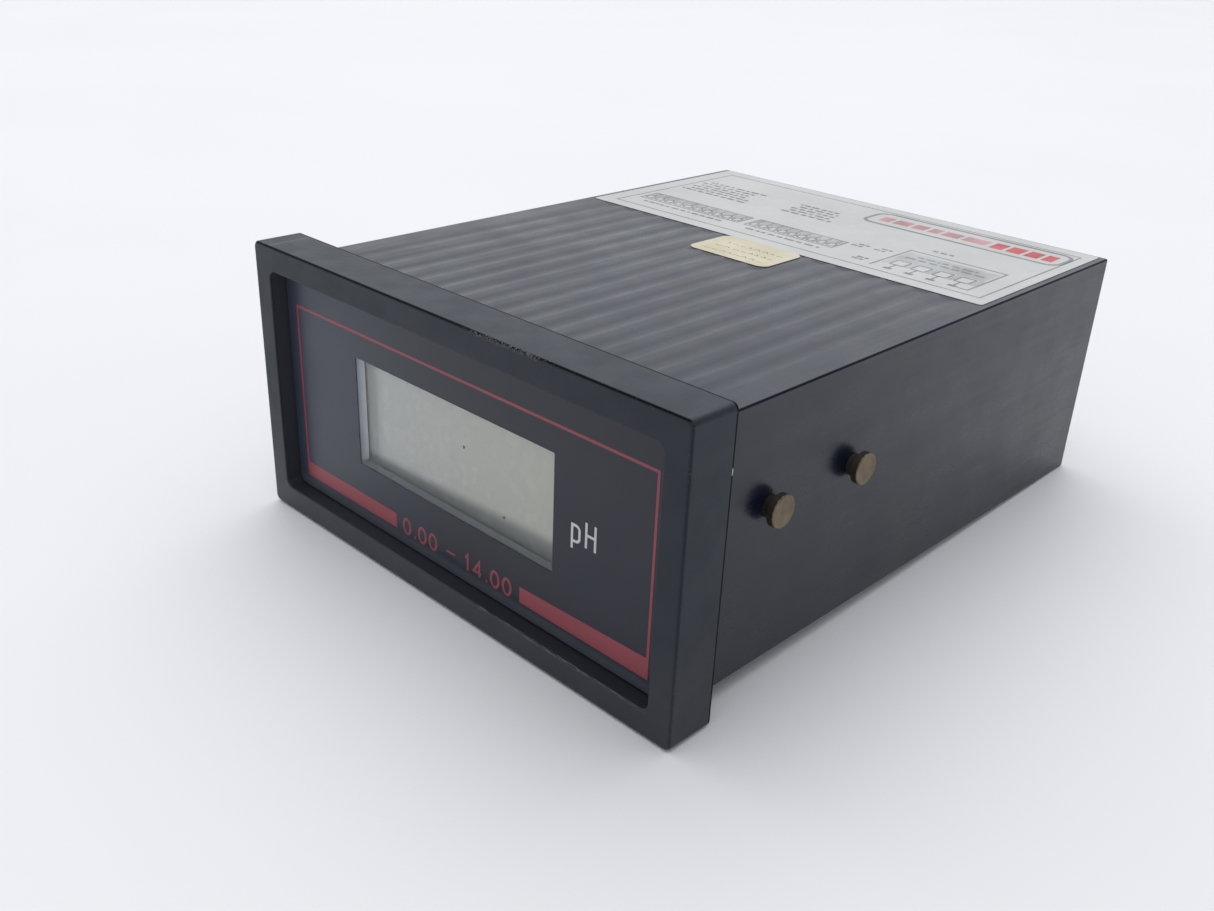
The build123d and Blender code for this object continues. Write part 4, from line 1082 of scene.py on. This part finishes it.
# Capacitors: a sleeve with a pale stripe, rolled over a bare can top
bm = bmesh.new()
CAN_X, CAN_YS = 8.0, (60.0, 73.0)
CAN_LOW, CAN_HIGH = BOARD_TOP, 5.0
CAN_PROFILE = [
    (0.001, CAN_LOW), (4.7, CAN_LOW), (4.95, CAN_LOW + 0.2), (5.0, CAN_LOW + 0.6), (5.0, CAN_LOW + 1.6),
    (4.75, CAN_LOW + 1.9), (4.75, CAN_LOW + 2.3), (5.0, CAN_LOW + 2.6), (5.0, CAN_HIGH - 0.7),
    (4.9, CAN_HIGH - 0.25), (4.6, CAN_HIGH), (4.0, CAN_HIGH), (3.9, CAN_HIGH - 0.12), (3.7, CAN_HIGH - 0.3),
    (2.0, CAN_HIGH - 0.3), (0.001, CAN_HIGH - 0.3),
]
for y in CAN_YS:
    turned(bm, CAN_PROFILE, (CAN_X, y, 0), (0, 0, 1), 48)
for face in bm.faces:
    c = face.calc_center_median() / MM
    radius = min(math.hypot(c.x - CAN_X, c.y - y) for y in CAN_YS)
    if c.z > CAN_HIGH - 0.5 and radius < 3.95:
        face.material_index = 2
    elif radius > 4.6 and c.x < CAN_X - 4.0 and c.z > CAN_LOW + 2.6:
        face.material_index = 1
cans = finish_piece("smoothing_capacitors_model", bm, "smoothing_capacitors", [sleeve_paint, stripe_paint, can_paint])
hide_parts("smoothing_capacitors")

# Resistors: swollen ends, colour bands and bent leads
bm = bmesh.new()
BAND_CODES = ((0, 5, 2, 6), (3, 4, 1, 6), (1, 1, 2, 6), (0, 5, 3, 6), (2, 2, 1, 6), (4, 3, 0, 6))
BAND_PLACES, BAND_W = (1.75, 2.65, 3.55, 4.75), 0.5
LACQUER, TIN = len(band_paints), len(band_paints) + 1
RESISTOR_X, RESISTOR_PITCH, RESISTOR_FRONT, RESISTOR_Z = 16.0, 4.0, 38.0, BOARD_TOP + 1.4
RESISTOR_PROFILE = [
    (0.001, 0.0), (0.5, 0.02), (0.95, 0.12), (1.16, 0.4), (1.2, 0.8), (1.18, 1.25), (1.05, 1.55),
    *((1.0, place + step) for place in BAND_PLACES for step in (0.0, BAND_W)),
    (1.05, 5.45), (1.18, 5.6), (1.2, 5.8), (1.16, 6.1), (0.95, 6.38), (0.5, 6.48), (0.001, 6.5),
]
LEAD_R = 0.29
LEADS = ((38.1, 36.9, 1), (44.4, 45.6, -1))  # start in the body, foot, and the way back


def lead(bm, path):
    """A round wire through points that all lie in one plane across X."""
    side = Vector((1, 0, 0))
    rings = []
    for i, p in enumerate(path):
        other = (path[min(i + 1, len(path) - 1)] - path[max(i - 1, 0)]).normalized().cross(side)
        rings.append([p + way * LEAD_R for way in spokes(side, other, 10)])
    loft(bm, rings)


for k, code in enumerate(BAND_CODES):
    x, z = RESISTOR_X + k * RESISTOR_PITCH, RESISTOR_Z
    before = set(bm.faces)
    turned(bm, RESISTOR_PROFILE, (x, RESISTOR_FRONT, z), (0, 1, 0), 24)
    for face in set(bm.faces) - before:
        along = face.calc_center_median().y / MM - RESISTOR_FRONT
        face.material_index = LACQUER
        for place, shade in zip(BAND_PLACES, code):
            if place - 0.01 < along < place + BAND_W + 0.01:
                face.material_index = shade
    before = set(bm.faces)
    for start, foot, way in LEADS:
        lead(bm, [Vector((x, y, height)) for y, height in (
            (start, z), (foot + way * 0.35, z), (foot + way * 0.1, z - 0.1), (foot, z - 0.35), (foot, BOARD_TOP),
        )])
    for face in set(bm.faces) - before:
        face.material_index = TIN
resistors = finish_piece("resistors_model", bm, "resistors", [*band_paints, lacquer_paint, tin_paint])
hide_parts("resistors")

# Fuse: a glass tube with a thin wire between two plated caps
FUSE = (29.0, 80.0, -7.0)
CAP_PROFILE = [
    (0.001, 10.0), (1.6, 9.98), (2.3, 9.85), (2.55, 9.6), (2.6, 9.2), (2.6, 4.7), (2.5, 4.5), (2.32, 4.5), (0.001, 4.5),
]
bm = bmesh.new()
for sx in (-1, 1):
    turned(bm, CAP_PROFILE, FUSE, (sx, 0, 0), 32)
turned(bm, [(0.001, -4.6), (0.12, -4.6), (0.12, 4.6), (0.001, 4.6)], FUSE, (1, 0, 0), 8)
caps = finish_piece("fuse_caps", bm, "fuse_tube", [nickel_paint])
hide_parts("fuse_tube")
bm = bmesh.new()
turned(bm, [(2.0, -4.55), (2.28, -4.55), (2.28, 4.55), (2.0, 4.55)], FUSE, (1, 0, 0), 32)
tube = finish_piece("fuse_glass", bm, "fuse_tube", [fuse_glass_paint])
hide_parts("fuse_tube")

# ---- stage

FLOOR_AT_BEZEL, FLOOR_AT_REAR = bezel_low.z, case_low.z
floor_tilt = math.atan2(FLOOR_AT_REAR - FLOOR_AT_BEZEL, case_high.y)
floor_paint = Paint("floor", (0.88, 0.88, 0.895), 0.6)
floor_paint.colour(floor_paint.patches(160.0), (0.885, 0.885, 0.90), (0.90, 0.90, 0.915))
bm = bmesh.new()
bmesh.ops.create_grid(bm, x_segments=8, y_segments=8, size=12.0)
floor_mesh = bpy.data.meshes.new("floor")
bm.to_mesh(floor_mesh)
bm.free()
floor_mesh.materials.append(floor_paint.material)
floor = bpy.data.objects.new("floor", floor_mesh)
bpy.context.scene.collection.objects.link(floor)
floor.matrix_world = Matrix.Translation((0, 0, FLOOR_AT_BEZEL * MM)) @ Matrix.Rotation(floor_tilt, 4, "X")

# One large soft light overhead, aimed at the middle of the case
LIGHT_PLACE, LIGHT_AIM = Vector((-0.4, 0.3, 1.9)), Vector((0, 0.05, 0))
light_data = bpy.data.lights.new("overhead", "AREA")
light_data.shape = "SQUARE"
light_data.size = 2.6
light_data.energy = 21.5
light_data.color = (1, 0.995, 0.985)
light = bpy.data.objects.new("overhead", light_data)
bpy.context.scene.collection.objects.link(light)
light.location = LIGHT_PLACE
light.rotation_mode = "QUATERNION"
light.rotation_quaternion = (LIGHT_PLACE - LIGHT_AIM).to_track_quat("Z", "Y")

# A bright wall at the back left, dimmer round the front and the right
WALL_WAY, WALL_EDGE, WALL_CORE = (-0.72, 0.62, 0.30), 0.35, 0.85
DIM, BRIGHT = 0.59, 1.02
world = bpy.data.worlds.new("studio")
bpy.context.scene.world = world
world.use_nodes = True
sky = world.node_tree
background = sky.nodes["Background"]
way = sky.nodes.new("ShaderNodeTexCoord")
facing = sky.nodes.new("ShaderNodeVectorMath")
facing.operation = "DOT_PRODUCT"
facing.inputs[1].default_value = WALL_WAY
sky.links.new(way.outputs["Generated"], facing.inputs[0])
glow = sky.nodes.new("ShaderNodeMapRange")
glow.interpolation_type = "SMOOTHSTEP"
for socket, place in zip(RANGE_SOCKETS, (WALL_EDGE, WALL_CORE, DIM, BRIGHT)):
    glow.inputs[socket].default_value = place
sky.links.new(facing.outputs["Value"], glow.inputs["Value"])
sky.links.new(glow.outputs[0], background.inputs["Strength"])
background.inputs["Color"].default_value = (0.92, 0.945, 1.0, 1)
